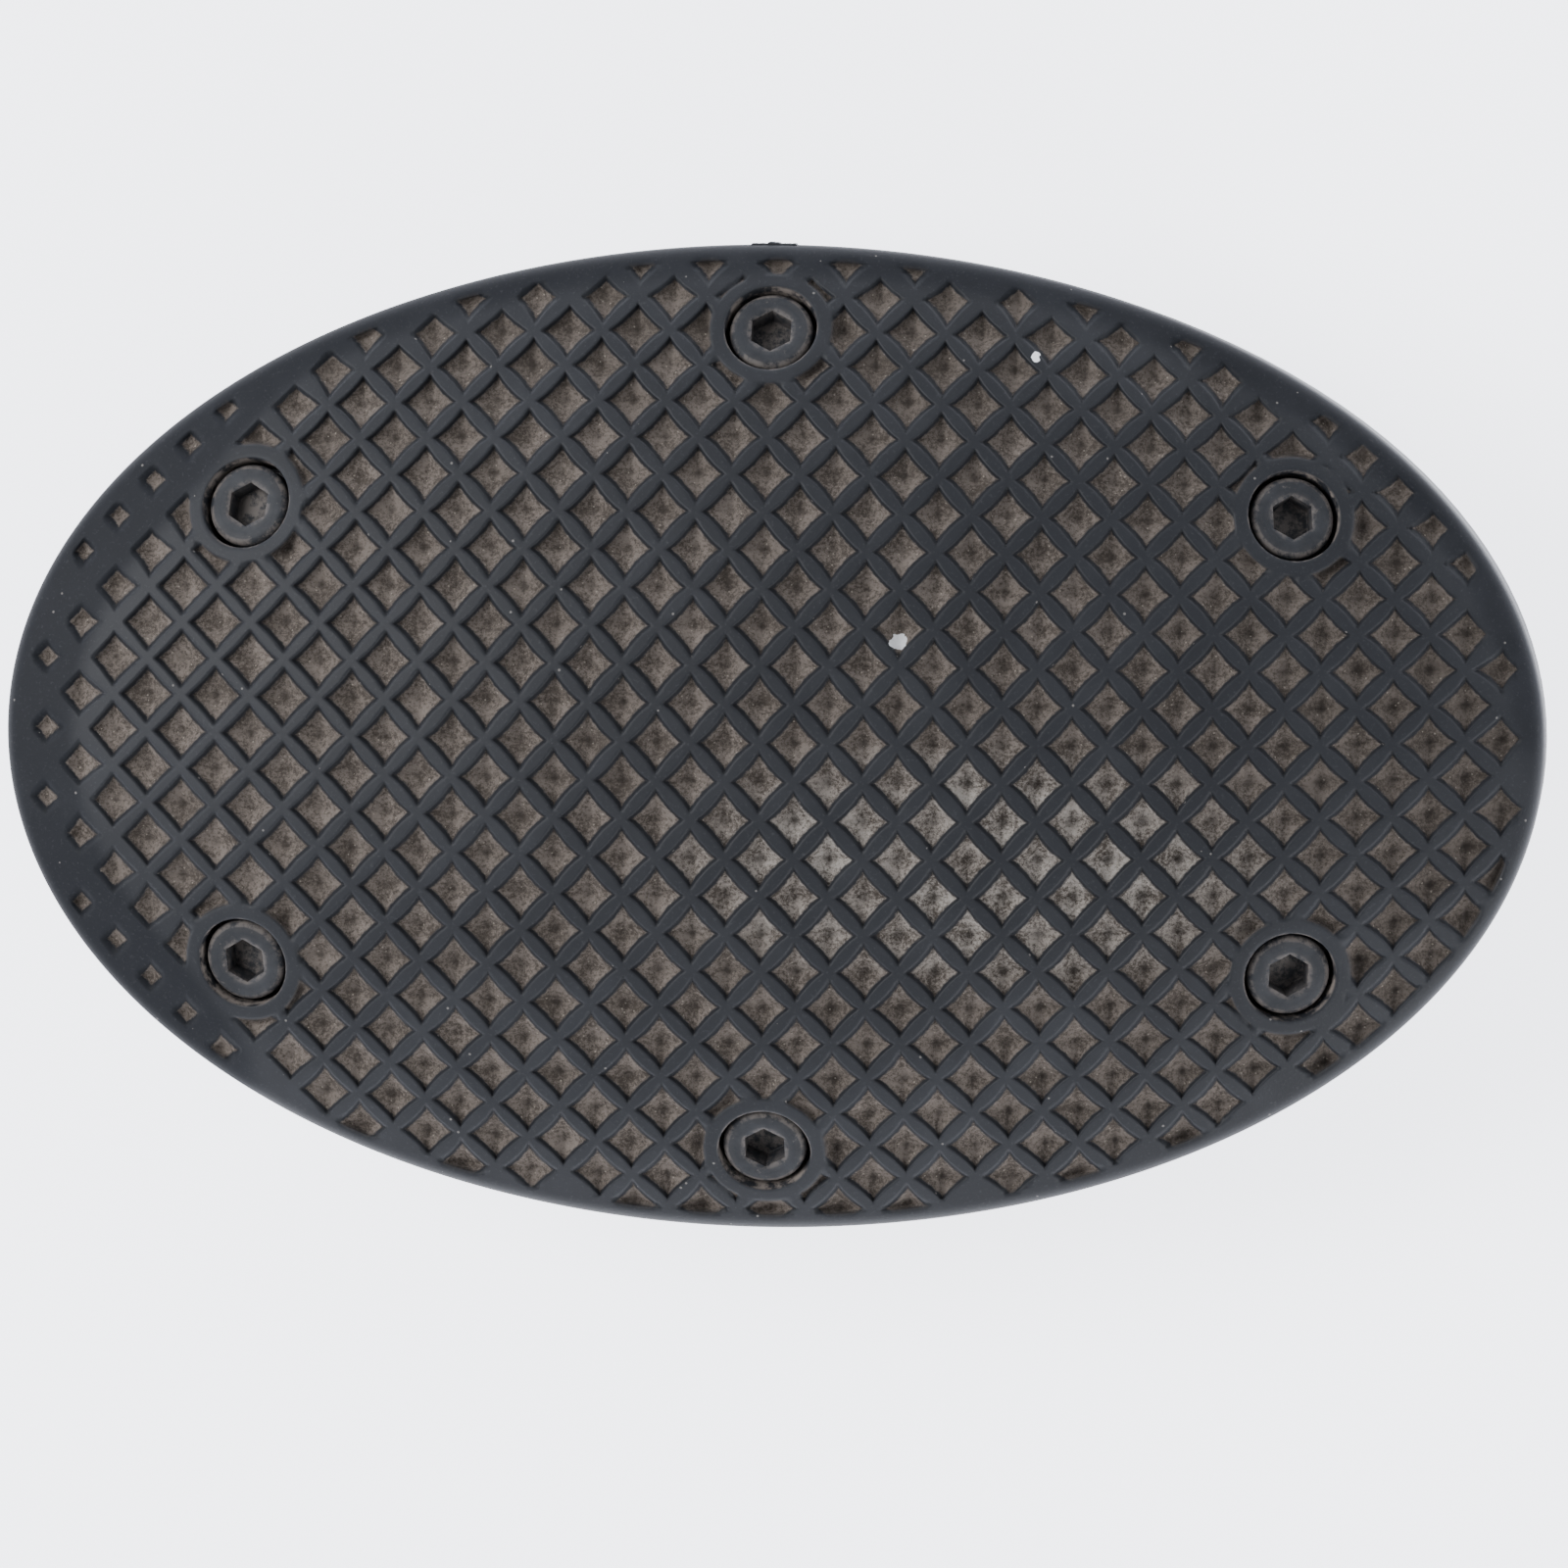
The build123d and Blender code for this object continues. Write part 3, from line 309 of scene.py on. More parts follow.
def tread_height(x, y):
    """Height of the finished tread, with its waffle, collars and rounded edge."""
    p, q = lattice(x, y)
    mask = pit_mask(x, y, p, q)
    inside = rim_distance(x, y)
    screw = screw_distance(x, y)
    edge = np.clip(1 - inside / EDGE_ROUND, 0, 1)
    edge_drop = EDGE_ROUND * (1 - np.sqrt(np.maximum(1 - edge**2, 0)))
    lip = np.clip((COUNTERBORE_RADIUS + LIP_WIDTH - screw) / LIP_WIDTH, 0, 1)
    lip_drop = LIP_DROP * (1 - np.sqrt(np.maximum(1 - lip**2, 0)))
    return crown(x, y) - pit_depth(p, q, x, y, mask) - edge_drop - lip_drop


def tread_points():
    """Plan points of the tread's top face: lattice, rim rings and collar rings."""
    steps = np.array(CELL_STEPS)
    whole = np.arange(-24, 25)
    line = (whole[:, None] + steps[None, :]).ravel()
    p, q = [g.ravel() for g in np.meshgrid(line, line)]
    x, y = from_lattice(p, q)
    keep = (np.abs(x) < HALF_LENGTH) & (np.abs(y) < HALF_WIDTH)
    x, y = x[keep], y[keep]
    clear_of_rim = rim_distance(x, y) > RIM_INSETS[-1] + RING_GAP
    keep = clear_of_rim & (screw_distance(x, y) > COLLAR_RADII[-1] + RING_GAP)
    x, y = [x[keep]], [y[keep]]
    for inset in RIM_INSETS:
        rx, ry = outline(inset, RIM_COUNT)
        x.append(rx)
        y.append(ry)
    for point in SCREW_POINTS:
        for radius in COLLAR_RADII:
            ring = collar_ring(point, radius, RING_COUNT)
            far = rim_distance(ring[:, 0], ring[:, 1]) > RIM_INSETS[-1] + 0.1
            if radius < COLLAR_RADII[3]:
                far[:] = True
            x.append(ring[far, 0])
            y.append(ring[far, 1])
    return np.concatenate(x), np.concatenate(y)


def build_tread():
    """The rubber tread: one closed skin of top, edge, counterbores and underside."""
    x, y = tread_points()
    top = delaunay_2d_cdt([Vector(v) for v in zip(x, y)], [], [], 0, 1e-6)
    plan = np.array([tuple(v) for v in top[0]])
    x, y = plan[:, 0], plan[:, 1]
    verts = np.stack([x, y, tread_height(x, y)], -1)
    faces = np.array(top[2])
    centre = plan[faces].mean(axis=1)
    in_hole = screw_distance(centre[:, 0], centre[:, 1]) < COUNTERBORE_RADIUS - 0.01
    faces = [tuple(f) for f in faces[~in_hole]]

    def near(points):
        """Indices of the skin's vertices at plan points."""
        found = []
        for px, py in points:
            found.append(int(np.argmin((x - px) ** 2 + (y - py) ** 2)))
        return found

    verts = list(verts)
    rim = near(zip(*outline(0, RIM_COUNT)))
    loops = [rim]
    for inset, height in EDGE_LOOPS:
        ox, oy = outline(inset, RIM_COUNT)
        loops.append(range(len(verts), len(verts) + RIM_COUNT))
        verts += [np.array([a, b, height]) for a, b in zip(ox, oy)]
    inner_x, inner_y = outline(UNDERSIDE_RIM, RIM_COUNT)
    loops.append(range(len(verts), len(verts) + RIM_COUNT))
    verts += [np.array([a, b, -PAD_EDGE]) for a, b in zip(inner_x, inner_y)]
    for upper, lower in zip(loops, loops[1:]):
        upper, lower = list(upper), list(lower)
        for i in range(RIM_COUNT):
            j = (i + 1) % RIM_COUNT
            faces.append((upper[i], lower[i], lower[j], upper[j]))
    under = list(loops[-1])
    under_plan = [(inner_x[i], inner_y[i]) for i in range(RIM_COUNT)]
    hole_plans = []
    for point in SCREW_POINTS:
        sx, sy = np.float64(point[0]), np.float64(point[1])
        normal = crown_normal(sx, sy)
        ring = collar_ring(point, COUNTERBORE_RADIUS, RING_COUNT)
        upper = near(ring[:, :2])
        for depth in (0.6, UNDERSIDE_DEPTH):
            base = ring - normal * depth
            lower = list(range(len(verts), len(verts) + RING_COUNT))
            verts += list(base)
            for i in range(RING_COUNT):
                j = (i + 1) % RING_COUNT
                faces.append((upper[i], upper[j], lower[j], lower[i]))
            upper = lower
        under += upper
        under_plan += [(v[0], v[1]) for v in base]
        hole_plans.append(base[:, :2].mean(axis=0))
    grid = np.arange(-76, 77, UNDERSIDE_STEP)
    gx, gy = [g.ravel() for g in np.meshgrid(grid, grid)]
    clear = rim_distance(gx, gy) > 2 * UNDERSIDE_RIM
    for hx, hy in hole_plans:
        clear &= np.hypot(gx - hx, gy - hy) > COUNTERBORE_RADIUS + 2
    gx, gy = gx[clear], gy[clear]
    under += range(len(verts), len(verts) + len(gx))
    under_plan += list(zip(gx, gy))
    floor = np.maximum(crown(gx, gy, UNDERSIDE_DEPTH), -PAD_EDGE)
    verts += [np.array(v) for v in zip(gx, gy, floor)]
    below = delaunay_2d_cdt([Vector(v) for v in under_plan], [], [], 0, 1e-6)
    centres = np.array([np.mean([below[0][i][:] for i in f], axis=0) for f in below[2]])
    for face, (cx, cy) in zip(below[2], centres):
        if any(np.hypot(cx - hx, cy - hy) < COUNTERBORE_RADIUS * 0.9 for hx, hy in hole_plans):
            continue
        faces.append(tuple(under[below[3][i][0]] for i in reversed(face)))

    verts = np.array(verts)
    piece = new_piece("tread_waffle", to_row(verts), faces, "treadle")
    p, q = lattice(verts[:, 0], verts[:, 1])
    mask = pit_mask(verts[:, 0], verts[:, 1], p, q)
    mask[verts[:, 2] < crown(verts[:, 0], verts[:, 1]) - PIT_DEPTH - 0.3] = 0
    # attributes that the material reads: waffle coordinates with the mask, distance from the
    # screws, and shrink
    place = piece.data.attributes.new("waffle", "FLOAT_VECTOR", "POINT")
    place.data.foreach_set("vector", np.stack([p, q, mask], -1).astype(np.float32).ravel())
    ring = piece.data.attributes.new("collar", "FLOAT", "POINT")
    ring.data.foreach_set("value", screw_distance(verts[:, 0], verts[:, 1]).astype(np.float32))
    lost = piece.data.attributes.new("shrink", "FLOAT", "POINT")
    lost.data.foreach_set("value", shrink(verts[:, 0], verts[:, 1]).astype(np.float32))
    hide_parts("tread_pad")
    return piece


tread = build_tread()


# ---------------------------------------------------------------- gate stub, screws and springs
HEX_CORNER = SOCKET_FLATS / 3**0.5
SCREW_LENGTH = 10.0  # from the heads' faces to the screws' ends
SCREW_SEGMENTS = 72
HEAD_PROFILE = [  # radius, height over the head's face, share of hexagon, dust
    (0.0, -SCREW_LENGTH, 0, 0),
    (SCREW_RADIUS - 0.5, -SCREW_LENGTH, 0, 0),
    (SCREW_RADIUS, -SCREW_LENGTH + 0.5, 0, 0),
    (SCREW_RADIUS, -SCREW_HEAD_HEIGHT, 0, 0),
    (SCREW_HEAD_RADIUS - 0.2, -SCREW_HEAD_HEIGHT, 0, 0),
    (SCREW_HEAD_RADIUS, -SCREW_HEAD_HEIGHT + 0.2, 0, 0),
    (SCREW_HEAD_RADIUS, -0.62, 0, 0.3),
    (SCREW_HEAD_RADIUS - 0.04, -0.45, 0, 0.9),
    (SCREW_HEAD_RADIUS - 0.22, -0.22, 0, 1.0),
    (SCREW_HEAD_RADIUS - 0.48, -0.05, 0, 0.7),
    (SCREW_HEAD_RADIUS - 0.62, 0.0, 0, 0.1),
    (3.0, 0.0, 0, 0.0),
    (2.62, 0.0, 0.2, 0.1),
    (2.46, -0.03, 0.6, 0.6),
    (HEX_CORNER, -0.16, 1, 0.8),
    (HEX_CORNER, -1.2, 1, 0.25),
    (HEX_CORNER, -SOCKET_DEPTH + 0.15, 1, 0.5),
    (HEX_CORNER - 0.15, -SOCKET_DEPTH, 1, 1.0),
    (1.0, -SOCKET_DEPTH - 0.02, 0, 1.0),
    (0.0, -SOCKET_DEPTH - 0.05, 0, 1.0),
]


def build_screws():
    """Six hexagon socket screws, chamfered and dusty."""
    verts, faces, dust = [], [], []
    angle = np.arange(SCREW_SEGMENTS) * 2 * pi / SCREW_SEGMENTS
    to_corner = np.abs((angle - pi / 2 + pi / 6) % (pi / 3) - pi / 6)
    hexagon = cos(pi / 6) / np.cos(pi / 6 - to_corner)
    for point in SCREW_POINTS:
        sx, sy = np.float64(point[0]), np.float64(point[1])
        normal = crown_normal(sx, sy)
        face = np.array([sx, sy, crown(sx, sy)]) - SCREW_RECESS * normal
        across = np.cross([0, 1, 0], normal)
        across /= np.linalg.norm(across)
        up = np.cross(normal, across)
        start = len(verts)
        for radius, height, share, dirt in HEAD_PROFILE:
            reach = radius * (1 - share + share * hexagon)
            ring = face + (reach * np.cos(angle))[:, None] * across
            ring = ring + (reach * np.sin(angle))[:, None] * up + height * normal
            verts += list(ring)
            dust += [dirt] * SCREW_SEGMENTS
        for k in range(len(HEAD_PROFILE) - 1):
            low = start + k * SCREW_SEGMENTS
            for i in range(SCREW_SEGMENTS):
                j = (i + 1) % SCREW_SEGMENTS
                faces.append((low + i, low + j, low + j + SCREW_SEGMENTS, low + i + SCREW_SEGMENTS))
    piece = new_piece("socket_screws", to_row(np.array(verts)), faces, "treadle", smooth_shading=False)
    attribute = piece.data.attributes.new("dirt", "FLOAT", "POINT")
    attribute.data.foreach_set("value", np.array(dust, dtype=np.float32))
    weld(piece)
    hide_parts("tread_screws")
    return piece


def weld(piece, distance=1e-6, keep_sharp=radians(35)):
    """Join the doubled points of a mesh and shade it smooth up to an angle."""
    shape = bmesh.new()
    shape.from_mesh(piece.data)
    bmesh.ops.remove_doubles(shape, verts=shape.verts, dist=distance)
    bmesh.ops.dissolve_degenerate(shape, edges=shape.edges, dist=distance)
    for face in shape.faces:
        face.smooth = True
    for edge in shape.edges:
        edge.smooth = len(edge.link_faces) == 2 and edge.calc_face_angle(0) < keep_sharp
    shape.to_mesh(piece.data)
    shape.free()


WIRE = 1.1  # mm
WIRE_SIDES = 12
STEPS_PER_TURN = 40
SPRING_TURNS = 6.3


def build_spring(node):
    """A compression spring with closed ends, from its CAD node's box."""
    low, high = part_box(node)
    centre = (low + high) / 2
    thick = WIRE * MM / 2
    radius = (high.x - low.x) / 2 - thick
    count = int(SPRING_TURNS * STEPS_PER_TURN)
    share = np.linspace(0, 1, count + 1)
    turn = share * SPRING_TURNS
    # the first and last turns lie flat and the rest climbs evenly
    climb = np.interp(turn, [0, 0.9, SPRING_TURNS - 0.9, SPRING_TURNS], [0, 0.06, 0.94, 1])
    angle = turn * 2 * pi
    path = np.stack([centre.x + radius * np.cos(angle), centre.y + radius * np.sin(angle),
                     low.z + thick + climb * (high.z - low.z - 2 * thick)], -1)
    verts, faces = [], []
    for k, point in enumerate(path):
        out = np.array([cos(angle[k]), sin(angle[k]), 0])
        for side in range(WIRE_SIDES):
            a = side * 2 * pi / WIRE_SIDES
            verts.append(point + thick * (cos(a) * out + sin(a) * np.array([0, 0, 1])))
    for k in range(count):
        for side in range(WIRE_SIDES):
            a, b = k * WIRE_SIDES + side, k * WIRE_SIDES + (side + 1) % WIRE_SIDES
            faces.append((a, a + WIRE_SIDES, b + WIRE_SIDES, b))
    last = count * WIRE_SIDES
    faces.append(tuple(range(WIRE_SIDES)))
    faces.append(tuple(last + WIRE_SIDES - 1 - side for side in range(WIRE_SIDES)))
    piece = new_piece(node + "_coil", verts, faces, "base")
    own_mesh(piece)
    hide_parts(node)
    return piece


def build_gate_stub():
    """The ragged stub that the moulding gate left on the edge of the tread."""
    rng = np.random.default_rng(7)
    count = 40
    xs = GATE_X + np.linspace(-0.5, 0.5, count) * GATE_WIDTH
    edge = HALF_WIDTH * np.sqrt(1 - (xs / HALF_LENGTH) ** 2)
    middle = np.abs(np.linspace(-1, 1, count)) < 0.24
    proud = np.where(middle, rng.uniform(*GATE_PROUD_MIDDLE, count), rng.uniform(*GATE_PROUD, count))
    proud[[0, -1]] = 0.02
    top, foot = -GATE_DROP, -GATE_DROP - GATE_HEIGHT
    verts, faces = [], []
    for x, y, reach in zip(xs, edge, proud):
        verts += [(x, y - 0.4, top), (x, y + 0.7 * reach, top), (x, y + reach, top - 0.12),
                  (x, y + reach, foot + 0.12), (x, y - 0.4, foot)]
    sides = 5
    for k in range(count - 1):
        for i in range(sides):
            a, b = k * sides + i, k * sides + (i + 1) % sides
            faces.append((a, a + sides, b + sides, b))
    faces.append(tuple(range(sides)))
    faces.append(tuple(reversed(range((count - 1) * sides, count * sides))))
    piece = new_piece("gate_stub", to_row(np.array(verts)), faces, "treadle", smooth_shading=False)
    away = piece.data.attributes.new("collar", "FLOAT", "POINT")
    away.data.foreach_set("value", np.full(len(verts), HALF_WIDTH, dtype=np.float32))
    return piece


gate_stub = build_gate_stub()
screws = build_screws()
springs = [build_spring(node) for node in ("left_spring", "right_spring")]


# ---------------------------------------------------------------- materials
class Finish:
    """A procedural material and short ways to add its nodes."""

    def __init__(self, name):
        self.material = bpy.data.materials.new(name)
        self.material.use_nodes = True
        self.tree = self.material.node_tree
        self.shader = self.tree.nodes["Principled BSDF"]
        self.place = self.node("ShaderNodeTexCoord").outputs["Object"]

    def node(self, kind, **settings):
        """A new node with its settings."""
        made = self.tree.nodes.new(kind)
        for key, value in settings.items():
            setattr(made, key, value)
        return made

    def feed(self, socket, value):
        """Link a socket's source, or set its constant value."""
        if isinstance(value, bpy.types.NodeSocket):
            self.tree.links.new(value, socket)
        elif socket.type == "RGBA" and len(value) == 3:
            socket.default_value = (*value, 1)
        else:
            socket.default_value = value

    def math(self, operation, *values, clamp=False):
        """The result of a math node."""
        made = self.node("ShaderNodeMath", operation=operation, use_clamp=clamp)
        for socket, value in zip(made.inputs, values):
            self.feed(socket, value)
        return made.outputs[0]

    def step(self, low, high, value):
        """0 below low, 1 above high, and an S between."""
        made = self.node("ShaderNodeMapRange", interpolation_type="SMOOTHSTEP")
        self.feed(made.inputs["Value"], value)
        made.inputs["From Min"].default_value = low
        made.inputs["From Max"].default_value = high
        return made.outputs["Result"]

    def span(self, low, high, value):
        """A 0 to 1 value spread between two others."""
        made = self.node("ShaderNodeMapRange")
        self.feed(made.inputs["Value"], value)
        made.inputs["To Min"].default_value = low
        made.inputs["To Max"].default_value = high
        return made.outputs["Result"]

    def mix(self, share, first, second):
        """The first colour at share 0, the second at 1."""
        made = self.node("ShaderNodeMix", data_type="RGBA")
        self.feed(made.inputs[0], share)
        self.feed(made.inputs[6], first)
        self.feed(made.inputs[7], second)
        return made.outputs[2]

    def noise(self, scale, detail=3.0, roughness=0.6, stretch=None):
        """Cloudy noise around 0.5, drawn out along an axis by stretch."""
        vector = self.place
        if stretch:
            mapping = self.node("ShaderNodeMapping")
            self.feed(mapping.inputs["Vector"], vector)
            mapping.inputs["Scale"].default_value = stretch
            vector = mapping.outputs["Vector"]
        made = self.node("ShaderNodeTexNoise")
        self.feed(made.inputs["Vector"], vector)
        made.inputs["Scale"].default_value = scale
        made.inputs["Detail"].default_value = detail
        made.inputs["Roughness"].default_value = roughness
        return made.outputs["Fac"]

    def flecks(self, scale, size):
        """1 in small scattered dots, 0 between."""
        made = self.node("ShaderNodeTexVoronoi")
        self.feed(made.inputs["Vector"], self.place)
        made.inputs["Scale"].default_value = scale
        return self.math("LESS_THAN", made.outputs["Distance"], size)

    def bump(self, height, distance):
        """A normal bent by a height, which reaches distance in metres."""
        made = self.node("ShaderNodeBump")
        made.inputs["Strength"].default_value = 1.0
        made.inputs["Distance"].default_value = distance
        self.feed(made.inputs["Height"], height)
        return made.outputs["Normal"]

    def set(self, **values):
        """Feed the shader's sockets, named as in roughness or base_color."""
        for key, value in values.items():
            self.feed(self.shader.inputs[key.replace("_", " ").title()], value)


WHITE_CHIPS = [(14.2, 9.8, 0.85), (26.9, 38.8, 0.5)]  # x, y and radius, mm
RUBBER = (0.0148, 0.0160, 0.0193)
RUBBER_WORN = (0.026, 0.0278, 0.0325)
DUST = (0.232, 0.200, 0.177)
# dark dust grains, also the colour of the painted shade on the pits towards the right and top edges
DUST_DARK_AND_SHADE = (0.078, 0.066, 0.057)
DUST_PALE = (0.600, 0.565, 0.520)
DUST_SPECK = (0.46, 0.41, 0.35)
# colour of the painted shade in the deepest middle of the pits
PIT_BOTTOM_SHADE = (0.045, 0.038, 0.034)
SCUFF = (0.085, 0.088, 0.095)
RIB_SPECK = (0.20, 0.19, 0.18)
CHIP_WHITE = (0.80, 0.81, 0.84)
PALE_PATCH = (22.0, -13.0)  # x and y of the middle of the palest dust, mm
PALE_PATCH_SIZE = (30.0, 12.0)
SHADE_RIGHT = (35.0, 75.0)  # painted shade darkens the dust between these along the tread, mm
SHADE_TOE = (22.0, 46.0)  # and between these across it
CAUGHT_FROM = 4.9  # dust caught round the screws thickens between these radii, mm
CAUGHT_FULL = 4.55
STEEL_DARK = (0.0140, 0.0155, 0.0190)
STEEL_PALE = (0.0240, 0.0262, 0.0310)
LACQUER = (0.010, 0.085, 0.030)
TRACK = (0.030, 0.190, 0.065)


def tread_rubber():
    """Charcoal rubber with dusty pits, with painted shade in their middles and towards the right and top
    edges.
    """
    f = Finish("tread_rubber")
    waffle = f.node("ShaderNodeAttribute", attribute_name="waffle").outputs["Vector"]
    axes = f.node("ShaderNodeSeparateXYZ")
    f.feed(axes.inputs[0], waffle)
    p, q, mask = axes.outputs
    place = f.node("ShaderNodeSeparateXYZ")
    f.feed(place.inputs[0], f.place)
    x, y, _ = place.outputs
    pit_p, pit_q = f.math("ROUND", p), f.math("ROUND", q)
    a = f.math("ABSOLUTE", f.math("SUBTRACT", p, pit_p))
    b = f.math("ABSOLUTE", f.math("SUBTRACT", q, pit_q))
    most, least = f.math("MAXIMUM", a, b), f.math("MINIMUM", a, b)
    swell = f.math("SUBTRACT", f.math("MULTIPLY", most, most), f.math("MULTIPLY", least, least))
    grown = f.step(STAR_FROM * MM, STAR_FULL * MM, x)
    star = f.math("ADD", f.math("MULTIPLY", grown, STAR_PINCH - SQUARE_PINCH), SQUARE_PINCH)
    reach = f.math("ADD", most, f.math("MULTIPLY", swell, star))
    lost = f.node("ShaderNodeAttribute", attribute_name="shrink").outputs["Fac"]
    reach = f.math("ADD", reach, lost)
    ragged = f.math("MULTIPLY", f.math("SUBTRACT", f.noise(1400, 4, 0.75), 0.5), 0.10)
    reach_dust = f.math("ADD", reach, ragged)
    cell = f.node("ShaderNodeCombineXYZ")
    f.feed(cell.inputs[0], pit_p)
    f.feed(cell.inputs[1], pit_q)
    chance = f.node("ShaderNodeTexWhiteNoise")
    f.feed(chance.inputs["Vector"], cell.outputs[0])
    lot = chance.outputs["Value"]

    past_dust = f.step(FLOOR_HALF - 0.01, FLOOR_HALF + 0.05, reach_dust)
    in_pit = f.math("MULTIPLY", f.math("SUBTRACT", 1.0, past_dust), mask)
    # grains of dust, coarse and fine
    grain = f.noise(2700, 6, 0.85)
    clump = f.noise(420, 3, 0.6)
    shade = f.math("ADD", f.math("MULTIPLY", f.math("SUBTRACT", grain, 0.5), 5.0),
                   f.math("MULTIPLY", f.math("SUBTRACT", clump, 0.5), 2.2))
    dust = f.mix(f.step(-0.62, 0.58, shade), DUST_DARK_AND_SHADE, DUST)
    # paler dust towards the lower right of the middle, by whole pits
    patch_x = f.math("DIVIDE", f.math("SUBTRACT", x, PALE_PATCH[0] * MM), PALE_PATCH_SIZE[0] * MM)
    patch_y = f.math("DIVIDE", f.math("SUBTRACT", y, PALE_PATCH[1] * MM), PALE_PATCH_SIZE[1] * MM)
    away = f.math("ADD", f.math("MULTIPLY", patch_x, patch_x), f.math("MULTIPLY", patch_y, patch_y))
    pale = f.math("MULTIPLY", f.step(1.5, 0.1, away), f.span(0.35, 1.0, lot))
    pale = f.math("MULTIPLY", pale, f.step(-0.6, 0.7, shade))
    dust = f.mix(f.math("MULTIPLY", pale, 0.85), dust, DUST_PALE)
    # darker pits here and there at random, and painted shade darkening the dust towards the right and
    # top edges, which turn away from the light
    shade_to_right = f.step(SHADE_RIGHT[0] * MM, SHADE_RIGHT[1] * MM, x)
    shade_to_toe = f.step(SHADE_TOE[0] * MM, SHADE_TOE[1] * MM, y)
    edge = f.math("MULTIPLY", f.math("ADD", shade_to_right, shade_to_toe, clamp=True), 0.38)
    dim_pits_and_shade = f.math("ADD", edge, f.math("MULTIPLY", lot, 0.35), clamp=True)
    dust = f.mix(f.math("MULTIPLY", dim_pits_and_shade, 0.7), dust, DUST_DARK_AND_SHADE)
    # painted shade at the deepest middle of each pit, stronger in some pits than in others
    painted_centre_shade = f.step(0.15, 0.0, reach_dust)
    dust = f.mix(f.math("MULTIPLY", painted_centre_shade, f.span(0.3, 0.85, lot)), dust, PIT_BOTTOM_SHADE)
    specks = f.flecks(1000, 0.10)
    dust = f.mix(f.math("MULTIPLY", specks, 0.5), dust, DUST_SPECK)

    wear = f.noise(60, 4, 0.65)
    fine = f.noise(3000, 3, 0.7)
    rubber = f.mix(f.math("MULTIPLY", f.step(0.40, 0.75, wear), 0.6), RUBBER, RUBBER_WORN)
    rubber = f.mix(f.math("MULTIPLY", f.step(0.55, 0.8, fine), 0.25), rubber, SCUFF)
    rib_specks = f.flecks(330, 0.045)
    rubber = f.mix(f.math("MULTIPLY", rib_specks, 0.6), rubber, RIB_SPECK)
    # dust caught round the screws
    collar = f.node("ShaderNodeAttribute", attribute_name="collar").outputs["Fac"]
    near_screw = f.step(CAUGHT_FROM, CAUGHT_FULL, collar)
    caught = f.math("MULTIPLY", near_screw, f.step(0.42, 0.6, f.noise(500, 4, 0.7)))
    rubber = f.mix(f.math("MULTIPLY", caught, 0.7), rubber, DUST)

    colour = f.mix(in_pit, rubber, dust)
    for chip_x, chip_y, size in WHITE_CHIPS:
        across = f.math("MULTIPLY", f.math("SUBTRACT", x, chip_x * MM), 1 / (size * MM))
        along = f.math("MULTIPLY", f.math("SUBTRACT", y, chip_y * MM), 1 / (size * MM))
        away = f.math("ADD", f.math("MULTIPLY", across, across), f.math("MULTIPLY", along, along))
        uneven = f.math("MULTIPLY", f.math("SUBTRACT", f.noise(1100, 2, 0.5), 0.5), 3.2)
        colour = f.mix(f.step(1.1, 0.9, f.math("ADD", away, uneven)), colour, CHIP_WHITE)
    dull = f.math("MULTIPLY", in_pit, 0.45)
    f.set(base_color=colour, roughness=f.math("ADD", f.span(0.46, 0.60, wear), dull, clamp=True))
    at_rim = f.step(0.5 * RIM_SHRINK, RIM_SHRINK, lost)
    gloss = f.math("MULTIPLY", f.span(0.19, 0.08, in_pit), f.span(1.0, 0.35, at_rim))
    f.feed(f.shader.inputs["Specular IOR Level"], gloss)
    rough = f.math("ADD", f.math("MULTIPLY", grain, in_pit), f.math("MULTIPLY", fine, 0.10))
    f.feed(f.shader.inputs["Normal"], f.bump(rough, 0.00025))
    return f.material


def plain_finish(name, colour, roughness, metallic=0.0, vary=0.12, grain=1500, relief=0.00003,
                 streak=None):
    """A one-colour finish with slight mottling, uneven gloss and a fine grain."""
    f = Finish(name)
    cloud = f.noise(45, 4, 0.6)
    fine = f.noise(grain, 3, 0.6, stretch=streak)
    darker = tuple(c * (1 - vary) for c in colour)
    lighter = tuple(min(1.0, c * (1 + vary)) for c in colour)
    f.set(base_color=f.mix(f.step(0.3, 0.7, cloud), darker, lighter),
          roughness=f.span(max(roughness - 0.08, 0.02), roughness + 0.08, cloud), metallic=metallic)
    f.feed(f.shader.inputs["Normal"], f.bump(fine, relief))
    return f.material


def black_screw():
    """Black oxide steel with dust lying in the sockets."""
    f = Finish("screw_steel")
    fine = f.noise(1800, 4, 0.7)
    cloud = f.noise(260, 4, 0.65)
    colour = f.mix(f.step(0.35, 0.75, cloud), STEEL_DARK, STEEL_PALE)
    dusty = f.math("MULTIPLY", f.step(0.60, 0.75, f.noise(900, 5, 0.75)), 0.3)
    colour = f.mix(dusty, colour, DUST)
    dirt = f.node("ShaderNodeAttribute", attribute_name="dirt").outputs["Fac"]
    caked = f.math("MULTIPLY", dirt, f.step(0.38, 0.60, f.noise(750, 5, 0.75)))
    colour = f.mix(f.math("MULTIPLY", caked, 0.42), colour, DUST)
    f.set(base_color=colour, roughness=f.span(0.52, 0.70, fine))
    f.shader.inputs["Specular IOR Level"].default_value = 0.25
    f.feed(f.shader.inputs["Normal"], f.bump(fine, 0.00004))
    return f.material


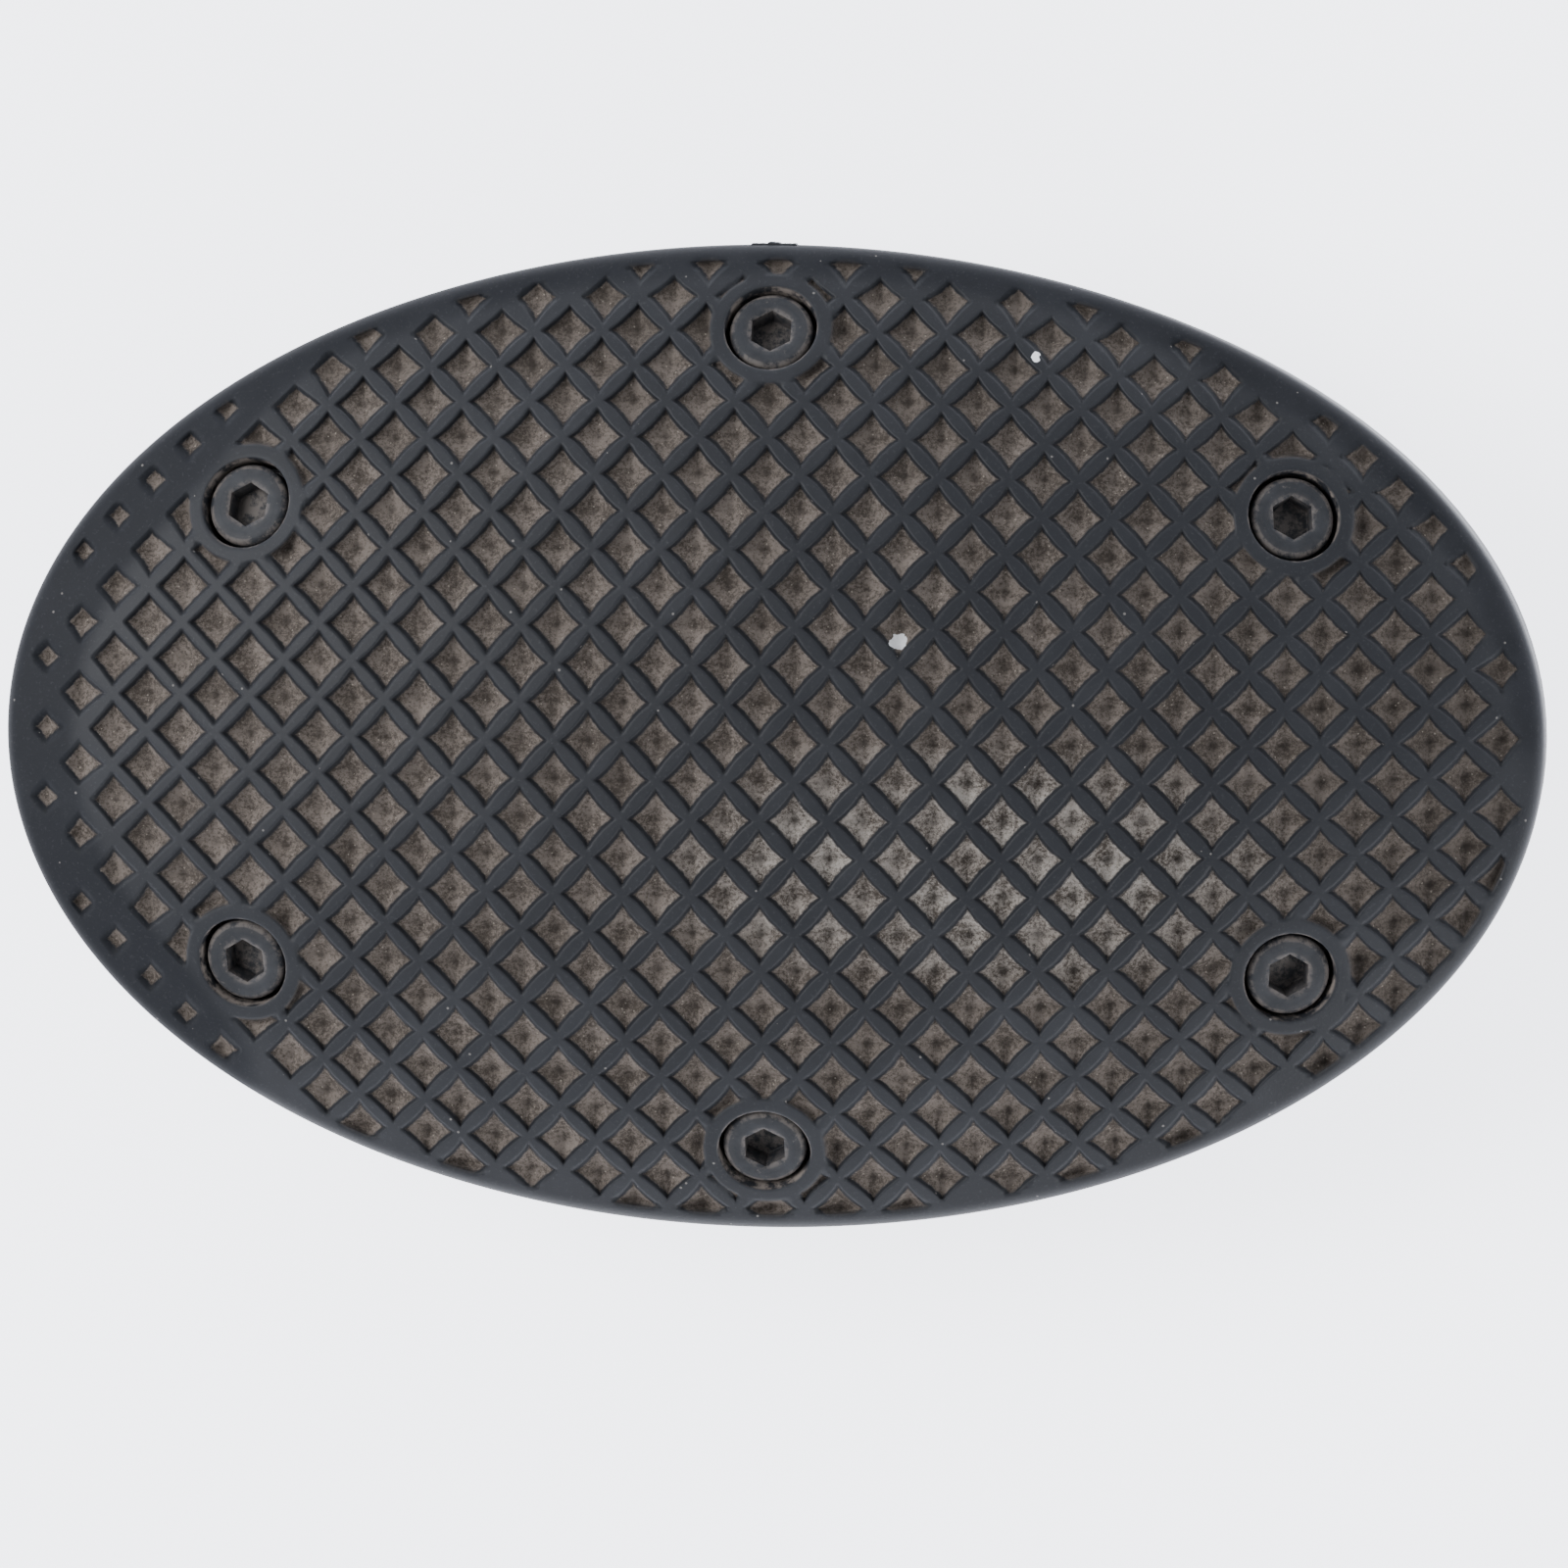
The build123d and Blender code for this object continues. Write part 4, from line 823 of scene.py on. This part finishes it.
def circuit_board():
    """Green lacquer over copper tracks."""
    f = Finish("board")
    bricks = f.node("ShaderNodeTexBrick", offset=0.35)
    f.feed(bricks.inputs["Vector"], f.place)
    bricks.inputs["Scale"].default_value = 260
    bricks.inputs["Mortar Size"].default_value = 0.06
    bricks.inputs["Brick Width"].default_value = 1.6
    tracks = f.math("GREATER_THAN", bricks.outputs["Fac"], 0.5)
    colour = f.mix(tracks, LACQUER, TRACK)
    f.set(base_color=colour, roughness=f.span(0.22, 0.38, f.noise(700)))
    f.feed(f.shader.inputs["Normal"], f.bump(tracks, 0.00004))
    return f.material


def add_materials():
    """One finish for each of the record's material slots."""
    plastic = plain_finish("shell_plastic", (0.030, 0.032, 0.037), 0.50, vary=0.10, grain=2200,
                           relief=0.00006)
    made = {
        "tread_rubber": tread_rubber(),
        "shell_plastic": plastic,
        "screw_steel": black_screw(),
        "brass": plain_finish("brass", (0.62, 0.42, 0.16), 0.30, 1.0, 0.15, 2500),
        "nylon": plain_finish("nylon", (0.72, 0.70, 0.64), 0.42, 0.0, 0.05, 1200),
        "pin_steel": plain_finish("pin_steel", (0.50, 0.50, 0.51), 0.24, 1.0, 0.12, 900,
                                  streak=(0.05, 1, 1)),
        "pot_metal": plain_finish("pot_metal", (0.46, 0.45, 0.43), 0.34, 1.0, 0.15, 1800),
        "bracket_steel": plain_finish("bracket_steel", (0.42, 0.43, 0.45), 0.40, 1.0, 0.18, 1100),
        "cover_plate": plain_finish("cover_plate", (0.022, 0.023, 0.025), 0.58, 0.0, 0.12, 900, 0.00015),
        "foot_rubber": plain_finish("foot_rubber", (0.016, 0.016, 0.017), 0.78, 0.0, 0.20, 1500, 0.0001),
        "spring_steel": plain_finish("spring_steel", (0.36, 0.36, 0.37), 0.28, 1.0, 0.15, 1500),
        "board": circuit_board(),
        "capacitor": plain_finish("capacitor", (0.55, 0.20, 0.03), 0.35, 0.0, 0.12, 700),
        "resistor": plain_finish("resistor", (0.50, 0.36, 0.20), 0.40, 0.0, 0.20, 900),
        "header_plastic": plain_finish("header_plastic", (0.74, 0.73, 0.68), 0.38, 0.0, 0.06, 900),
        "jack_plastic": plain_finish("jack_plastic", (0.018, 0.018, 0.020), 0.36, 0.0, 0.12, 1200),
        "jack_metal": plain_finish("jack_metal", (0.58, 0.57, 0.55), 0.22, 1.0, 0.10, 1500),
        "wire_red": plain_finish("wire_red", (0.42, 0.012, 0.010), 0.38, 0.0, 0.12, 800),
        "wire_black": plain_finish("wire_black", (0.012, 0.012, 0.013), 0.38, 0.0, 0.20, 800),
    }
    slots = {part["node"]: part["material_slot"] for part in frame["record"]["subparts"]}
    for node, piece in frame["nodes"].items():
        piece.data.materials.clear()
        piece.data.materials.append(made[slots[node]])
    for piece in (tread, gate_stub):
        piece.data.materials.append(made["tread_rubber"])
    screws.data.materials.append(made["screw_steel"])
    for spring in springs:
        spring.data.materials.append(made["spring_steel"])


# ---------------------------------------------------------------- stage, camera and light
WORLD_SIDES = 1.5
WORLD_ABOVE = 0.35
WORLD_FADE = (0.55, 0.97)  # from the one to the other, by the height of the direction
FLOOR_GLOW = 3.2
CAMERA_LEAN = radians(5.98)  # the camera leans towards +X
CAMERA_LEAN_BACK = radians(0.14)
CAMERA_ROLL = radians(0.77)
CAMERA_DISTANCE = 3.12
FRAME_WIDTH = 0.1592  # width of the view at the rim
AIM = Vector((0.00120, -0.00475, RIM_HEIGHT * MM))


def add_camera():
    """Nearly straight above the treadle, far away."""
    data = bpy.data.cameras.new("camera")
    camera = bpy.data.objects.new("camera", data)
    bpy.context.scene.collection.objects.link(camera)
    back = Vector((sin(CAMERA_LEAN), sin(CAMERA_LEAN_BACK), cos(CAMERA_LEAN))).normalized()
    up = Vector((-sin(CAMERA_ROLL), cos(CAMERA_ROLL), 0))
    side = up.cross(back).normalized()
    up = back.cross(side)
    place = Matrix((side, up, back)).transposed().to_4x4()
    place.translation = AIM + back * CAMERA_DISTANCE
    camera.matrix_world = place
    data.sensor_width = 36
    data.lens = data.sensor_width * CAMERA_DISTANCE / FRAME_WIDTH
    data.clip_end = 10
    bpy.context.scene.camera = camera


def add_floor():
    """A large pale floor."""
    mesh = bpy.data.meshes.new("floor")
    size = 3.0
    mesh.from_pydata([(-size, -size, 0), (size, -size, 0), (size, size, 0), (-size, size, 0)],
                     [], [(0, 1, 2, 3)])
    floor = bpy.data.objects.new("floor", mesh)
    bpy.context.scene.collection.objects.link(floor)
    material = bpy.data.materials.new("floor")
    material.use_nodes = True
    shader = material.node_tree.nodes["Principled BSDF"]
    shader.inputs["Base Color"].default_value = (0.90, 0.905, 0.935, 1)
    shader.inputs["Roughness"].default_value = 0.9
    shader.inputs["Emission Color"].default_value = (0.90, 0.92, 1.0, 1)
    shader.inputs["Emission Strength"].default_value = FLOOR_GLOW
    mesh.materials.append(material)


def add_light(name, place, target, size, power, colour=(1, 1, 1)):
    """A soft square area light."""
    data = bpy.data.lights.new(name, "AREA")
    data.size = size
    data.energy = power
    data.color = colour
    light = bpy.data.objects.new(name, data)
    bpy.context.scene.collection.objects.link(light)
    light.location = place
    light.rotation_euler = (Vector(target) - Vector(place)).to_track_quat("-Z", "Y").to_euler()


def add_world():
    """Pale surroundings, darker straight above where the camera stands."""
    world = bpy.data.worlds.new("world")
    world.use_nodes = True
    tree = world.node_tree
    direction = tree.nodes.new("ShaderNodeTexCoord")
    axes = tree.nodes.new("ShaderNodeSeparateXYZ")
    tree.links.new(direction.outputs["Generated"], axes.inputs[0])
    height = tree.nodes.new("ShaderNodeMapRange")
    height.interpolation_type = "SMOOTHSTEP"
    tree.links.new(axes.outputs["Z"], height.inputs["Value"])
    height.inputs["From Min"].default_value = WORLD_FADE[0]
    height.inputs["From Max"].default_value = WORLD_FADE[1]
    height.inputs["To Min"].default_value = WORLD_SIDES
    height.inputs["To Max"].default_value = WORLD_ABOVE
    background = tree.nodes["Background"]
    background.inputs["Color"].default_value = (0.93, 0.95, 1.0, 1)
    tree.links.new(height.outputs["Result"], background.inputs["Strength"])
    bpy.context.scene.world = world


add_materials()
add_camera()
add_floor()
add_world()
add_light("key", (-0.85, 0.20, 0.95), (0, 0, 0), 0.7, 17)
add_light("low", (0.80, -0.85, 0.45), (0, 0, 0), 0.30, 6)
